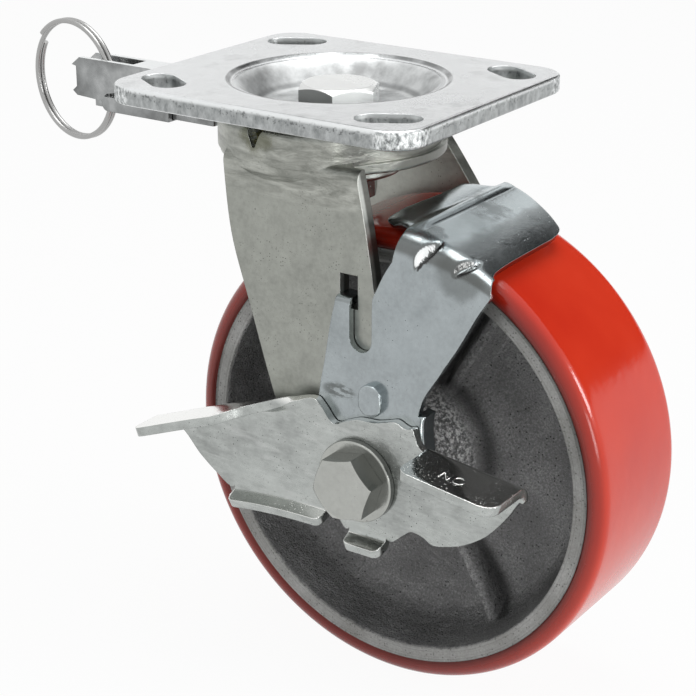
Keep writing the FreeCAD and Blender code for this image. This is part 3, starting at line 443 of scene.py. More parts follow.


# %% [markdown]
# ## Sand-cast iron
# The casting is dark grey, with the grain of the sand it was poured in and black pits. An attribute of the mesh
# paints shade into the fillets and on one flank of each rib, and glints of painted highlight on the hub and crests.
# The rim's face was turned on a lathe after casting, so there it is paler, smoother, and carries fine rings.
# The radius from the axle chooses between the two.


# %% The wheel centre's material
def cast_iron():
    """Dark sand casting with a turned, paler face at the rim."""
    f = Finish("cast iron", grey(0.2), 0.5, metallic=0.5)
    painted_shade_and_highlight = f.node("ShaderNodeAttribute", {"attribute_name": "painted_shade_and_highlight"}, [], "Fac")
    radius = length(*f.from_axle())
    outward = abs(f.part("Y"))
    turned_face = (radius + f.noise(330, 4, 0.7) * 0.0016).steps(0.0659, 0.0664) * outward.steps(0.0232, 0.0238)
    cloud = f.noise(60, 4)
    sand = f.noise(1500, 4, 0.7)
    lumps = f.noise(420, 3)
    pit = f.pits(900, 0.3, 0.22)
    rough_colour = f.ramp(sand * 0.65 + cloud * 0.35, [(0.3, grey(0.12)), (0.5, grey(0.25)), (0.72, grey(0.55))])
    painted_glints = f.ramp(f.noise(900, 3, 0.7), [(0.42, grey(0.14)), (0.52, grey(0.45)), (0.6, (0.95, 0.95, 0.94))])
    # painted shade in the fillets and on one flank of each rib, painted glints on the hub's cone and the ribs' crests
    rough_colour = f.layers(rough_colour, (pit * 0.8, grey(0.015)), (painted_shade_and_highlight * 0.85, grey(0.02)),
                            (painted_shade_and_highlight * -1.0, painted_glints))
    turning = (radius * 7000.0).maths("SINE") + (radius * 2300.0).maths("SINE") * 0.8
    face_colour = f.ramp(sand * 0.5 + cloud * 0.5,
                         [(0.3, (0.22, 0.215, 0.2)), (0.52, (0.34, 0.34, 0.33)), (0.75, (0.55, 0.55, 0.54))])
    face_colour = f.layers(face_colour, (f.pits(1100, 0.4, 0.3) * 0.6, (0.06, 0.06, 0.055)),
                           (turning.steps(0.6, 1.8) * 0.3, (0.1, 0.1, 0.09)))
    f.set("Base Color", f.mix(turned_face, rough_colour, face_colour))
    f.set("Roughness", turned_face.steps(0, 1, 0.46, 0.4) + sand * 0.16 - 0.06)
    rough_only = 1 - turned_face
    f.relief((lumps * rough_only, 0.0007), (sand * rough_only, 0.0005), (1 - pit * rough_only, 0.0003),
             (turning * turned_face, 0.00001))
    return f.material


iron_finish = cast_iron()

# %% Give every carried-over piece its finish
finishes = {
    plate_finish: "top_plate", head_finish: "kingpin_bolt", cup_finish: "lower_race_cup", fork_finish: "fork",
    bolt_finish: "kingpin_nut axle_bolt axle_nut axle_head_washer axle_nut_washer",
    bearing_finish: "axle_sleeve thrust_washers bearing_shell bearing_rollers", cage_finish: "bearing_cage_rings",
    grease_finish: "upper_ball_set lower_ball_set", iron_finish: "wheel_core", tread_finish: "wheel_tread",
    saddle_finish: "brake_saddle", pedal_finish: "brake_pedal", lock_finish: "lock_housing lock_tongue",
    ring_finish: "lock_ring"}
for finish, names in finishes.items():
    for name in names.split():
        nodes[name].data.materials.clear()
        nodes[name].data.materials.append(finish)
print("finishes:", len(finishes))

# %% [markdown]
# ## Surfaces from arrays
# A shape is a grid of points worked out in one go. Neighbouring points make the faces, and a grid may close on
# itself, as a turned profile does when it comes back to where it started.


# %% A mesh from a grid of points
def added(name, data):
    """Object made of data and linked to the scene."""
    made = bpy.data.objects.new(name, data)
    bpy.context.scene.collection.objects.link(made)
    return made


def stations_of(*runs):
    """Stations from runs of (first, last, how many), each run leaving out its last."""
    return np.concatenate([np.linspace(a, b, n, endpoint=False) for a, b, n in runs] + [[runs[-1][1]]])


def placed(x, y, z, unit=1.0):
    """Points from x and z counted from the axle and y from the middle plane, given in metres or in another unit."""
    return np.stack(np.broadcast_arrays(axle[0] + x * unit, y * unit, axle[2] + z * unit), -1)


def surface(name, points, closed_across=False, closed_along=False, flip=False):
    """Quads over points[i, j]; closed_across joins the last i to the first, closed_along the last j."""
    rows, columns = points.shape[:2]
    i = np.arange(rows if closed_across else rows - 1)
    j = np.arange(columns if closed_along else columns - 1)
    a, b = np.meshgrid(i, j, indexing="ij")
    a2, b2 = (a + 1) % rows, (b + 1) % columns
    quads = np.stack([a * columns + b, a2 * columns + b, a2 * columns + b2, a * columns + b2], -1).reshape(-1, 4)
    if flip:
        quads = quads[:, ::-1]
    mesh = bpy.data.meshes.new(name)
    mesh.vertices.add(rows * columns)
    mesh.vertices.foreach_set("co", points.reshape(-1))
    mesh.loops.add(quads.size)
    mesh.loops.foreach_set("vertex_index", quads.reshape(-1))
    mesh.polygons.add(len(quads))
    mesh.polygons.foreach_set("loop_start", np.arange(len(quads)) * 4)
    mesh.polygons.foreach_set("use_smooth", np.ones(len(quads), bool))
    mesh.update(calc_edges=True)
    mesh.validate()
    print(name, len(quads), "quads")
    return added(name, mesh)


def join(name, pieces):
    """One object of several, with points closer than a hundredth of a millimetre made one."""
    whole = bmesh.new()
    for piece in pieces:
        whole.from_mesh(piece.data)
        bpy.data.objects.remove(piece)
    bmesh.ops.remove_doubles(whole, verts=whole.verts, dist=0.01 * MM)
    mesh = bpy.data.meshes.new(name)
    whole.to_mesh(mesh)
    whole.free()
    return added(name, mesh)


def round_axle(profile, turns):
    """Profile of Y and radius carried round the axle: x = radius cos a, z = radius sin a."""
    angle = np.linspace(0, 2 * np.pi, turns, endpoint=False)[:, None]
    y, radius = profile.T
    return placed(radius * np.cos(angle), y, radius * np.sin(angle))


def rounded(corner, start, end, count=9):
    """Points of a quarter round from start to end that bulges towards corner."""
    t = np.linspace(0, np.pi / 2, count)[:, None]
    corner, start, end = (np.array(p) for p in (corner, start, end))
    centre = start + end - corner
    return centre + (start - centre) * np.cos(t) + (end - centre) * np.sin(t)


# %% [markdown]
# ## The tyre
# A tyre is poured round the casting in a mould, so it is exactly round, with a soft shoulder on each side and a small
# lip where it meets the iron. One closed profile is carried round the axle.

# %% Tyre
core_radius = wheel_radius - 6.1 * MM
shoulder = 4.6 * MM
half_profile = np.vstack([
    [[tyre_half - 1.0 * MM, core_radius], [tyre_half - 0.8 * MM, core_radius + 0.1 * MM]],
    rounded((tyre_half, core_radius + 0.4 * MM), (tyre_half - 0.7 * MM, core_radius + 0.4 * MM),
            (tyre_half, core_radius + 1.4 * MM), 4),
    rounded((tyre_half, wheel_radius), (tyre_half, wheel_radius - shoulder), (tyre_half - shoulder, wheel_radius), 12),
    np.stack([np.linspace(tyre_half - shoulder - 2 * MM, 0.001, 7), np.full(7, wheel_radius)], 1)])
mirrored = half_profile[::-1] * [-1, 1]
tyre_profile = np.vstack([half_profile, mirrored])
tyre = surface("tyre", round_axle(tyre_profile, 240), closed_across=True, closed_along=True, flip=True)
tyre.data.materials.append(tread_finish)
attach(tyre, "wheel_body")
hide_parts("wheel_tread")

# %% [markdown]
# ## The casting
# Each face of the wheel centre is a height over the plane of the wheel: a rim with a turned face, a dished web, a
# tapered hub and three ribs. The ribs are blended in with a soft maximum, which gives them the fillets that a
# moulder rams into the sand. A little slow noise keeps the web from looking machined.


# %% Heights over the web
def hump(value, centre, width, power=2):
    """Bell that is 1 where value is at centre and fades out over width."""
    return np.exp(-((value - centre) / width) ** power)


def soft_max(first, second, width):
    """The larger of two heights, rounded over about width where they cross."""
    gap = np.clip((first - second) / width, -1, 1)
    return np.where(np.abs(first - second) < width,
                    (first + second) / 2 + width * (gap * gap + 1) / 4, np.maximum(first, second))


CASTING_TURNS = 540
RIM_RADIUS, BORE_RADIUS, HUB_HALF = 70.1 * MM, 15.08 * MM, 27.8 * MM
rim_half = 24.3 * MM
rib_angles = {-1: (59.5, 180, 300.5), 1: (0, 120, 240)}
section = np.array([
    [15.08, 17.3, 18.5, 19.2, 21.0, 23.4, 24.6, 26.2, 28.6, 32.0, 37.0, 43.0, 49.0, 55.0, 58.6, 61.2, 63.2, 64.4,
     64.95, 65.2, 65.6, 66.3, 70.1],
    [27.8, 27.8, 27.4, 26.4, 21.6, 15.6, 13.0, 11.0, 9.3, 7.6, 5.7, 4.4, 3.9, 4.3, 5.8, 8.8, 13.0, 18.0,
     21.8, 23.6, 24.25, 24.3, 24.3]]) * MM


def by_rib(radius, angle, side):
    """For each rib of a face: how far points lie aside of its middle, and whether on its half of the wheel."""
    for rib in rib_angles[side]:
        turn = angle - math.radians(rib)
        yield radius * np.sin(turn), np.cos(turn) > 0


def web_height(radius, angle, side):
    """Height of a face over the middle plane: the section, then three ribs by soft maximum, then slow waves."""
    height = np.interp(radius, *section)
    for aside, ahead in by_rib(radius, angle, side):
        top = 10.6 * MM + 1.2 * MM * np.clip((radius - 0.05) / 0.014, 0, 1) ** 2
        slope = np.clip((np.abs(aside) - 1.2 * MM) / (4.2 * MM), 0, 1.2)
        rib_height = np.where(ahead, top - 8 * MM * slope ** 1.25, 0)
        inside = (radius > 19 * MM) & (radius < 65 * MM)
        height = np.where(inside, soft_max(height, rib_height, 1.8 * MM), height)
    wave = 0.25 * MM * np.sin(7 * angle + 90 * radius) * np.sin(radius * 260)
    return height + wave * np.clip((radius - 22 * MM) / 0.01, 0, 1) * np.clip((64 * MM - radius) / 0.006, 0, 1)


def casting_face(side):
    """Grid of one face of the casting, closer where the section bends."""
    stretch = stations_of((15.08, 17.3, 2), (17.3, 19.4, 7), (19.4, 31, 15), (31, 55, 14), (55, 64.9, 22),
                          (64.9, 66.3, 8), (66.3, 70.1, 3)) * MM
    r, a = np.meshgrid(stretch, np.linspace(0, 2 * np.pi, CASTING_TURNS, endpoint=False))
    points = placed(r * np.cos(a), side * web_height(r, a, side), r * np.sin(a))
    return surface("casting_face", points, closed_across=True, flip=side < 0)


def casting():
    """Both faces, with the rim's outside and the hub's bore between them."""
    pieces = [casting_face(-1), casting_face(1)]
    for name, half, radius in (("rim_outside", rim_half, RIM_RADIUS), ("hub_bore", -HUB_HALF, BORE_RADIUS)):
        profile = np.array([[-half, radius], [0, radius], [half, radius]])
        pieces.append(surface(name, round_axle(profile, CASTING_TURNS), closed_across=True))
    return join("wheel_centre", pieces)


def paint_shade_and_highlight(piece):
    """Painted shade as 1 in the fillets and on one flank of each rib; painted highlight under 0 on hub and crests."""
    flat = np.zeros(len(piece.data.vertices) * 3)
    piece.data.vertices.foreach_get("co", flat)
    points = flat.reshape(-1, 3) - axle
    radius = np.hypot(points[:, 0], points[:, 2])
    angle = np.arctan2(points[:, 2], points[:, 0])
    # painted shade where positive, painted highlight where negative
    painted_shade_and_highlight = 0.9 * hump(radius, 0.0282, 0.0026) + 0.4 * hump(radius, 0.0625, 0.0022)
    painted_shade_and_highlight = painted_shade_and_highlight - 0.9 * hump(radius, 0.0215, 0.0034, 4)
    for side in rib_angles:
        for aside, ahead in by_rib(radius, angle, side):
            near = ahead & (np.sign(points[:, 1]) == side) & (radius > 0.026) & (radius < 0.063)
            flank = hump(aside, 0.0048, 0.0023) - 0.35 * hump(aside, -0.0006, 0.0009)
            painted_shade_and_highlight = np.where(near, painted_shade_and_highlight + flank, painted_shade_and_highlight)
    layer = piece.data.attributes.new("painted_shade_and_highlight", "FLOAT", "POINT")
    layer.data.foreach_set("value", np.clip(painted_shade_and_highlight, -1, 1))


wheel_centre = casting()
paint_shade_and_highlight(wheel_centre)
wheel_centre.data.materials.append(iron_finish)
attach(wheel_centre, "wheel_body")
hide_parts("wheel_core")

# %% [markdown]
# ## Grease on the balls
# The balls are loaded through a notch in the crown, and the grease on them shows through it as a dark olive spot.
# A short piece of a ring of grease lies just behind the notch: a round section carried along an arc.

# %% Grease behind the loading notch
def grease_arc():
    """Section of radius 2.6 mm carried along an arc of radius 29.6 mm; it swells with a sine along the arc."""
    along = np.radians(np.linspace(-124, -76, 33))[:, None]
    turn = np.linspace(0, 2 * np.pi, 18, endpoint=False)
    thick = 2.6 * np.sin(np.linspace(0, np.pi, 33))[:, None] ** 0.4 * (1 + 0.12 * np.sin(9 * along)) + 0.01
    ring = 29.6 + thick * np.cos(turn)
    points = np.stack([ring * np.cos(along), ring * np.sin(along), -14.2 + 1.3 * thick * np.sin(turn)], -1)
    return surface("race_grease", points * MM, closed_along=True, flip=True)


def race_grease():
    """Thick olive grease with darker clots, wet on top."""
    f = Finish("race grease", (0.15, 0.14, 0.03), 0.2, coat=0.6)
    clots = f.noise(500, 4, 0.6)
    olive = [(0.36, (0.08, 0.075, 0.015)), (0.5, (0.36, 0.33, 0.07)), (0.64, (0.7, 0.66, 0.26))]
    f.set("Base Color", f.ramp(clots, olive))
    f.set("Roughness", clots.steps(0.3, 0.7, 0.14, 0.3))
    f.relief((clots, 0.0008))
    return f.material


smear = grease_arc()
smear.data.materials.append(race_grease())
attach(smear, "fork_body")

# %% [markdown]
# ## The brake saddle
# The saddle is one sheet: a flat side outside the fork's leg, rolled over at the top into a shoe that follows the
# tyre, with a free lip at the back and a pressed bead at the lip's root. The roll is tight at the front and wide at
# the back, and two darts are pressed into it to stiffen it. A grid follows the sheet from its lower end up the side,
# round the roll and across the shoe, so the roll can change its radius and the darts are simply moved points.


# %% Curves that never overshoot
def through(stations, values, at):
    """Cubic pieces through the values, with flat slopes at each turning point, so no hump is added."""
    x, y = np.array(stations, float), np.array(values, float)
    step = np.diff(x)
    rise = np.diff(y) / step
    same = rise[:-1] * rise[1:] > 0
    before, after = 2 * step[1:] + step[:-1], step[1:] + 2 * step[:-1]
    safe = np.where(rise == 0, 1, rise)
    inner = np.where(same, (before + after) / (before / safe[:-1] + after / safe[1:]), 0)
    slope = np.concatenate([[rise[0]], inner, [rise[-1]]])
    k = np.clip(np.searchsorted(x, at) - 1, 0, len(x) - 2)
    t = np.clip((at - x[k]) / step[k], 0, 1)
    h = step[k]
    return ((2 * t ** 3 - 3 * t ** 2 + 1) * y[k] + (t ** 3 - 2 * t ** 2 + t) * h * slope[k]
            + (3 * t ** 2 - 2 * t ** 3) * y[k + 1] + (t ** 3 - t ** 2) * h * slope[k + 1])


def smooth(value):
    """Smooth step from 0 to 1."""
    value = np.clip(value, 0, 1)
    return value * value * (3 - 2 * value)


# %% Measures of the saddle, in millimetres and degrees
pedal_face = corners("axle_head_washer")[1][1] / MM
saddle_face = pedal_face + 3.3
SHEET = 2.5
shoe_radius = wheel_radius / MM + 5.3
LIP_ROOT, SHOE_FRONT = 83.0, 57.6
SIDE_TOP, ROLL_MIDDLE = 72.0, 7.2
LEAN, BOW = math.radians(9), 1.3
SLOT_X, SLOT_HALF, SLOT_LOW = -1.6, 4.1, 40.8
TAB_TOP, TAB_BEND = 57.4, 2.4
print("saddle face", round(saddle_face, 2), "shoe radius", round(shoe_radius, 2), "mm")


def roll_radius(angle):
    """Radius of the roll between side and shoe: wide at the back, tight at the front."""
    return through((57, 62, 70, 78, 83), (4.0, 5.0, 7.2, 8.8, 9.2), angle)


# %% The side: two grids that share a seam below the slot
def side_rows():
    """Heights of the rows below the slot's foot."""
    return stations_of((-16.3, 10, 16), (10, 24.5, 14), (24.5, SLOT_LOW, 12))


def back_edge(z):
    """How far back the side reaches at a height."""
    return through((-16.3, -14.5, -12.5, -7, 0, 12, 24, 36, 48.5, 58.6),
                   (-3, -8, -11, -15.5, -17.8, -18, -17, -14.8, -12.6, -10.2), z)


def front_edge(z):
    """How far forwards the side reaches at a height."""
    return through((-16.3, -14.5, -13.5, -3, 10, 19.8, 28.5, 39.9, 50.9),
                   (3, 8, 10, 17.5, 19.4, 18.6, 20.4, 26.9, 33.6), z)


def strip(left_x, left_z, right_x, right_z, count):
    """Grids of x and z whose rows run from a left to a right rail, evenly spread."""
    s = np.linspace(0, 1, count)
    return np.stack([a[:, None] * (1 - s) + b[:, None] * s for a, b in ((left_x, right_x), (left_z, right_z))])


def fold(radius, degrees, steps, run):
    """How far on and how far out a sheet goes that bends through degrees in so many steps, then runs straight."""
    turn = np.radians(np.append(np.linspace(0, degrees, steps), np.full(run.shape[-1], degrees)))
    run = np.concatenate([np.zeros(run.shape[:-1] + (steps,)), run], -1)
    return radius * np.sin(turn) + run * np.cos(turn), radius * (1 - np.cos(turn)) + run * np.sin(turn)


def place_side(x, z, deep):
    """Points from x and z from the axle and depth behind the saddle's face, in millimetres."""
    return placed(x, saddle_face + deep, z, MM)


def side_back():
    """Back part of the side, up the guide tab, whose end turns in to the fork's window."""
    low = side_rows()
    arc = np.radians(np.linspace(0, 90, 7))[1:]
    z = np.concatenate([low, SLOT_LOW + SLOT_HALF * (1 - np.cos(arc)), stations_of((46.5, TAB_TOP - TAB_BEND, 8))])
    past_slot = SLOT_X - SLOT_HALF * np.sin(np.append(arc, np.full(9, np.pi / 2)))
    right = np.concatenate([np.full(len(low), SLOT_X), past_slot])
    x, z = strip(back_edge(z), z, right, z, 14)
    up, inward = fold(TAB_BEND, 90, 6, np.array([2.0, 4.0, 5.6]))
    return np.concatenate([place_side(x, z, 0), place_side(x[-1], z[-1] + up[1:, None], inward[1:, None])])


def side_front():
    """Front part of the side: straight rows up to the slot, then rows that fan out and lean in towards the roll."""
    low = side_rows()
    first = strip(np.full(len(low), SLOT_X), low, front_edge(low), low, 61)
    t = stations_of((0, 0.16, 6), (0.16, 0.6, 8), (0.6, 1, 14))[1:]
    arc = np.clip(t / 0.16, 0, 1) * np.pi / 2
    marks = (0.16, 0.6, 0.72, 0.88, 1)
    left_x = np.where(t < 0.16, SLOT_X + SLOT_HALF * np.sin(arc), through(marks, (2.5, 2.5, 4.0, 6.4, 8.78), t))
    left_z = np.where(t < 0.16, SLOT_LOW + SLOT_HALF * (1 - np.cos(arc)),
                      through(marks, (44.9, 58.0, 62.0, 67.4, 71.46), t))
    right_x = through((0, 0.45, 1), (27.35, 33.6, 38.58), t)
    right_z = through((0, 0.45, 1), (SLOT_LOW, 50.9, 60.79), t)
    straight = strip(left_x, left_z, right_x, right_z, 61)
    radius, angle = strip(np.hypot(left_x, left_z), np.arctan2(left_z, left_x),
                          np.hypot(right_x, right_z), np.arctan2(right_z, right_x), 61)
    fanned = radius * np.stack([np.cos(angle), np.sin(angle)])
    share = smooth((t - 0.25) / 0.75)[:, None]
    bow = np.concatenate([np.zeros(len(low)), BOW * np.clip((t - 0.4) / 0.6, 0, 1) ** 2])
    x, z = np.concatenate([first, straight * (1 - share) + fanned * share], 1)
    return place_side(x, z, bow[:, None])


# %% The roll and the shoe
# each dart's angle and middle, the widths of its back and front walls, half its length, and its depth
DARTS = ((75.3, 5.4, 3.0, 1.3, 5.9, 2.4), (66.2, 6.2, 2.6, 2.2, 5.0, 1.9))
DART_RADIUS = 78


def darts(angle, path):
    """Depth of the two pressed darts: a leaf-shaped valley whose back wall is broad and whose front wall is steep."""
    depth = 0
    for centre, middle, back, front, half_length, deep in DARTS:
        lean = (path - middle) * 0.3
        aside = (angle - centre) * math.radians(1) * DART_RADIUS + lean
        along = np.clip(np.abs(path - middle) / half_length, 0, 1)
        leaf = 1 - along ** 2 + 0.01
        wall = np.where(aside > 0, aside / (back * leaf), -aside / (front * leaf))
        depth = depth + deep * (1 - along ** 2) * np.clip(1 - wall, 0, 1)
    return depth


def bead(angle, y):
    """Height of the pressed bead along the lip's root: a round ridge between two thin creases."""
    aside = (LIP_ROOT - 1.4 - angle) * math.radians(1) * shoe_radius
    ridge = 0.7 * np.clip(1 - (aside / 2.4) ** 2, 0, 1)
    crease = 0.1 * hump(aside, 2.6, 0.45) + 0.12 * hump(aside, -2.5, 0.4)
    return (ridge - crease) * smooth((y + 30) / 8) * (1 - 0.7 * smooth((y - 20) / 6))


def shoe_far(s):
    """Y of the shoe's far edge, from the lip's root (0) to the front edge (1)."""
    return through((0, 0.03, 0.6, 0.846, 0.9375, 0.985, 1), (26.7, 26.6, 20.7, 17.1, 15.2, 11.6, 7.5), s)


ROLL_ROWS = 16  # two up the side and fourteen round the roll


def roll_and_shoe():
    """Rows from the side's top circle outwards, round the roll, and across the shoe to its far edge."""
    s = np.concatenate([np.linspace(0, 0.22, 23)[:-1], np.linspace(0.22, 1, 39)])
    rows = []
    turns = [(LEAN, r, 0.0) for r in (0.5, 1.0)] + [(b, 1.0, 0.0) for b in np.linspace(LEAN, np.pi / 2, 15)[1:]]
    turns += [(np.pi / 2, 1.0, v) for v in stations_of((0, 0.1, 6), (0.1, 0.85, 22), (0.85, 1, 8))[1:]]
    even = np.linspace(0, 1, 61)
    for turn, rise, across in turns:
        share = smooth(turn / (np.pi / 2))
        spread = even * (1 - share) + s * share
        y_here = saddle_face + ROLL_MIDDLE + across * (shoe_far(spread) - saddle_face - ROLL_MIDDLE)
        front = SHOE_FRONT + 2.4 * share + through((-33, -28.4, -17, 3.7), (0, 1.4, 2.0, 2.2), y_here) * (across > 0)
        angle = LIP_ROOT + (front - LIP_ROOT) * spread
        roll = roll_radius(angle)
        flat_end = shoe_radius - roll * (1 - math.sin(LEAN))
        climb = (flat_end - SIDE_TOP) * rise
        radius = SIDE_TOP + climb + roll * (np.sin(turn) - math.sin(LEAN))
        y_start = saddle_face + BOW + climb * math.tan(LEAN) + roll * (math.cos(LEAN) - np.cos(turn))
        y = y_start + across * (shoe_far(spread) - y_start)
        path = roll * turn - (1 - rise) * 2 + across * 40
        lift = -darts(angle, path) + bead(angle, y) * (turn > 1.5)
        a = np.radians(angle)
        n = np.stack([np.cos(a) * np.sin(turn), np.full(61, -np.cos(turn)), np.sin(a) * np.sin(turn)], -1)
        rows.append(np.stack([radius * np.cos(a), y, radius * np.sin(a)], -1) + n * lift[:, None])
    return np.stack(rows)


def place_round(points):
    """Points of the object's frame from (x, y, z) in millimetres, x and z from the axle."""
    return placed(*np.moveaxis(points, -1, 0), MM)


def lip(root):
    """Free lip: runs on along the tangent from the shoe's back edge, its corners rounded."""
    y = root[:, 1]
    near, far = y - y[0], y[-1] - y
    reach = 11.0 - 4.4 * (1 - np.sqrt(1 - np.clip(1 - near / 4.4, 0, 1) ** 2)) - 1.6 * np.clip(near / 30, 0, 1)
    reach = 0.3 + reach * smooth((far - 5.5) / 3.5)
    out = np.linspace(0, 1, 10)[None, :, None]
    a = math.radians(LIP_ROOT)
    direction = np.array([-math.sin(a), 0, math.cos(a)])
    up = np.array([math.cos(a), 0, math.sin(a)])
    curl = -(1.2 + 1.6 * np.clip(1 - near / 12, 0, 1))[:, None, None] * (out ** 2) * up
    return root[:, None, :] + direction * out * reach[:, None, None] + curl


def boss(x, z, half_wide, half_high, rise):
    """Raised boss: a flat-topped dome over a long round outline, with its foot inside the sheet."""
    turn = np.linspace(0, 2 * np.pi, 64, endpoint=False)[:, None]
    share = np.array([1.0, 1.0, 1.0, 0.985, 0.94, 0.87, 0.78, 0.6, 0.4, 0.2, 0.02])
    out = np.array([-0.6, 0.0, 0.55, 0.75, 0.88, 0.95, 0.985, 1.0, 1.0, 1.0, 1.0])
    stretch = (half_high - half_wide) * np.clip(np.sin(turn) * 3, -1, 1)
    return place_side(x + half_wide * share * np.cos(turn), z + (half_wide * np.sin(turn) + stretch) * share,
                      -rise * out)


# %% Put the saddle together
def finish_sheet(piece, thickness, offset, edge, body, node, finish):
    """Gives a sheet its thickness and rounded edges, its finish and its place in the frame."""
    solid = piece.modifiers.new("thickness", "SOLIDIFY")
    solid.thickness = thickness
    solid.offset = offset
    solid.use_even_offset = True
    rounding = piece.modifiers.new("rounded edges", "BEVEL")
    rounding.width = edge
    rounding.segments = 3
    rounding.limit_method = "ANGLE"
    rounding.angle_limit = math.radians(50)
    piece.data.materials.clear()
    piece.data.materials.append(finish)
    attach(piece, body)
    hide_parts(node)


def saddle():
    """All grids of the saddle's outer face, welded along their seams."""
    front = side_front()
    shoe = roll_and_shoe()
    upper = np.concatenate([front[-1:], place_round(shoe)])
    pieces = [surface("side_back", side_back(), flip=True), surface("side_front", front, flip=True),
              surface("shoe", upper, flip=True), surface("lip", place_round(lip(shoe[ROLL_ROWS:, 0])))]
    rows = side_rows()
    rows = rows[(rows > 11) & (rows < 25)][:, None]
    ahead, inward = fold(2.2, 90, 7, np.array([1.6, 3.2, 4.8]))
    pieces.append(surface("flange", place_side(front_edge(rows) + ahead, rows, inward), flip=True))
    return join("saddle", pieces)


saddle_piece = saddle()
finish_sheet(saddle_piece, SHEET * MM, -1, 0.7 * MM, "saddle_body", "brake_saddle", saddle_finish)
follower = surface("saddle_boss", boss(3.3, 26.6, 4.2, 5.3, 2.9), closed_across=True, flip=True)
follower.data.materials.append(saddle_finish)
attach(follower, "saddle_body")

# %% [markdown]
# ## The brake pedal
# The pedal rocks on the axle bolt. It is one thicker sheet: a flat web with a cam edge at the top, a foot pad folded
# outwards at each end, and two short flanges along the bottom. The back pad doesn't stop at a notch: its fold opens
# out and its width runs away to nothing, so the edge sweeps from the pad's front down into the web. Each column of
# the grid is one cut through the sheet, from its lower edge up the web, round the fold and out along the pad.

# %% Measures of the pedal, in millimetres
PEDAL_SHEET = 3.0
FOLD = 3.5
pedal_middle = pedal_face + PEDAL_SHEET / 2
ON_START, ON_END = 25.55, 58.2
PAD_TOP, PAD_FALL = 17.4, 4.5 / 32.6
BACK_END, BACK_FLANGE, FRONT_FLANGE = -79, (-48.6, -11.8), (-3.4, 10.4)


def pedal_top(x):
    """Height of the top edge, or of the pad's upper face where there is a pad."""
    return through((-79, -41, -33.3, -24, -16.6, -14, -9.4, -5.2, 0, 5, 9.5, 13, 17.2, 19.4, 21.6, ON_START),
                   (2.9, 17, 19.3, 22, 23.2, 21, 16.4, 18.1, 19.9, 20.2, 21.4, 22.4, 21, 21.6, 16.6, 14.0), x)


def pedal_low(x):
    """Height of the lower edge; where a lower flange starts, the height of its fold."""
    return through((-76, -70.6, -62.6, -56.4, -49.6, -48.6, -11.8, -11.5, -8.5, -4.5, -3.5, -3.4,
                    10.4, 10.5, 12, 16.6, 20, 23.5, 27.5, 35, 44.5, 52.7, 57.4, 58.2),
                   (1.2, 0, -7.6, -12.2, -16, -15.4, -12.6, -12.8, -14, -18.4, -17.8, -17.6,
                    -17.6, -17.8, -18.2, -14.8, -12.6, -13.2, -15, -13.2, -7.9, 1.1, 8.2, 9.0), x)


def pedal_cut(x, top, turn, reach):
    """Rows of one cut each: web, fold through turn, and pad; reach is how far the pad stands out of the web's face."""
    turn = np.radians(turn)
    small = np.maximum(turn, 1e-4)
    bend = FOLD * turn + 1.0 * (1 - turn / (np.pi / 2))
    out_bend = bend / small * (1 - np.cos(small))
    most = np.where(turn > 1.5, 40, 0.6 + 7.4 * smooth((10 - x) / 10))
    straight = np.clip((reach + PEDAL_SHEET / 2 - out_bend) / np.maximum(np.sin(small), 0.05), 0.6, most)
    up_bend = bend / small * np.sin(small)
    end = top - PEDAL_SHEET / 2 * np.sin(turn)
    start = end - up_bend - straight * np.cos(turn)
    low = np.minimum(pedal_low(x), start - 0.4)
    z = [low[:, None] + (start - low)[:, None] * np.linspace(0, 1, 27)]
    y = [np.zeros(z[0].shape)]
    a = small[:, None] * np.linspace(0, 1, 9)[1:]
    z.append(start[:, None] + (bend / small)[:, None] * np.sin(a))
    y.append(-(bend / small)[:, None] * (1 - np.cos(a)))
    run = straight[:, None] * np.linspace(0, 1, 11)[1:]
    z.append(z[1][:, -1:] + run * np.cos(turn)[:, None])
    y.append(y[1][:, -1:] - run * np.sin(turn)[:, None])
    return placed(x[:, None], pedal_middle + np.concatenate(y, 1), np.concatenate(z, 1), MM)


def end_round(distance, radius):
    """How much a pad's reach is cut back at a distance from its end, for a corner of that radius."""
    return radius - np.sqrt(np.maximum(radius ** 2 - np.clip(radius - distance, 0, radius) ** 2, 0))


def pedal_back():
    """From the back pad's end to just before the front pad."""
    x = stations_of((BACK_END, -74, 10), (-74, BACK_FLANGE[0], 16), (*BACK_FLANGE, 44),
                    (BACK_FLANGE[1], FRONT_FLANGE[0], 14), (*FRONT_FLANGE, 18), (FRONT_FLANGE[1], 17.2, 9),
                    (17.2, 22, 12), (22, ON_START, 5))
    reach = through((-79, -46, -44.7, -41.5, -38.8, -35.5, -32, -28, -24, -18),
                    (15.5, 15.5, 14.6, 11.2, 8, 5.2, 3, 1.2, 0.3, 0), x)
    reach = reach - end_round(x - BACK_END, 4.5) * (x < -70)
    turn = through((-79, -38, -33, -28, -24, -18, ON_START), (90, 90, 72, 42, 16, 0, 0), x)
    return x, pedal_cut(x, pedal_top(x), turn, reach)


def pedal_front():
    """The front arm with its pad."""
    x = stations_of((ON_START, 30.6, 10), (30.6, 53.2, 18), (53.2, ON_END, 12))
    reach = 19.0 - end_round(x - ON_START, 4.0) - end_round(ON_END - x, 5.0)
    return pedal_cut(x, PAD_TOP - (x - ON_START) * PAD_FALL, np.full(len(x), 90.0), reach)


def lower_flange(x, points, first, last):
    """Short flange that turns out of the web's lower edge by 70 degrees, with rounded ends."""
    keep = (x >= first - 1e-6) & (x <= last + 1e-6)
    straight = 4.4 - end_round(np.minimum(x[keep] - first, last - x[keep]), 2.6)
    down, out = fold(3.0, 70, 8, np.linspace(0, 1, 7)[1:] * straight[:, None])
    grid = np.repeat(points[keep, :1, :], down.shape[1], 1)
    grid[..., 1] -= out * MM
    grid[..., 2] -= down * MM
    return grid


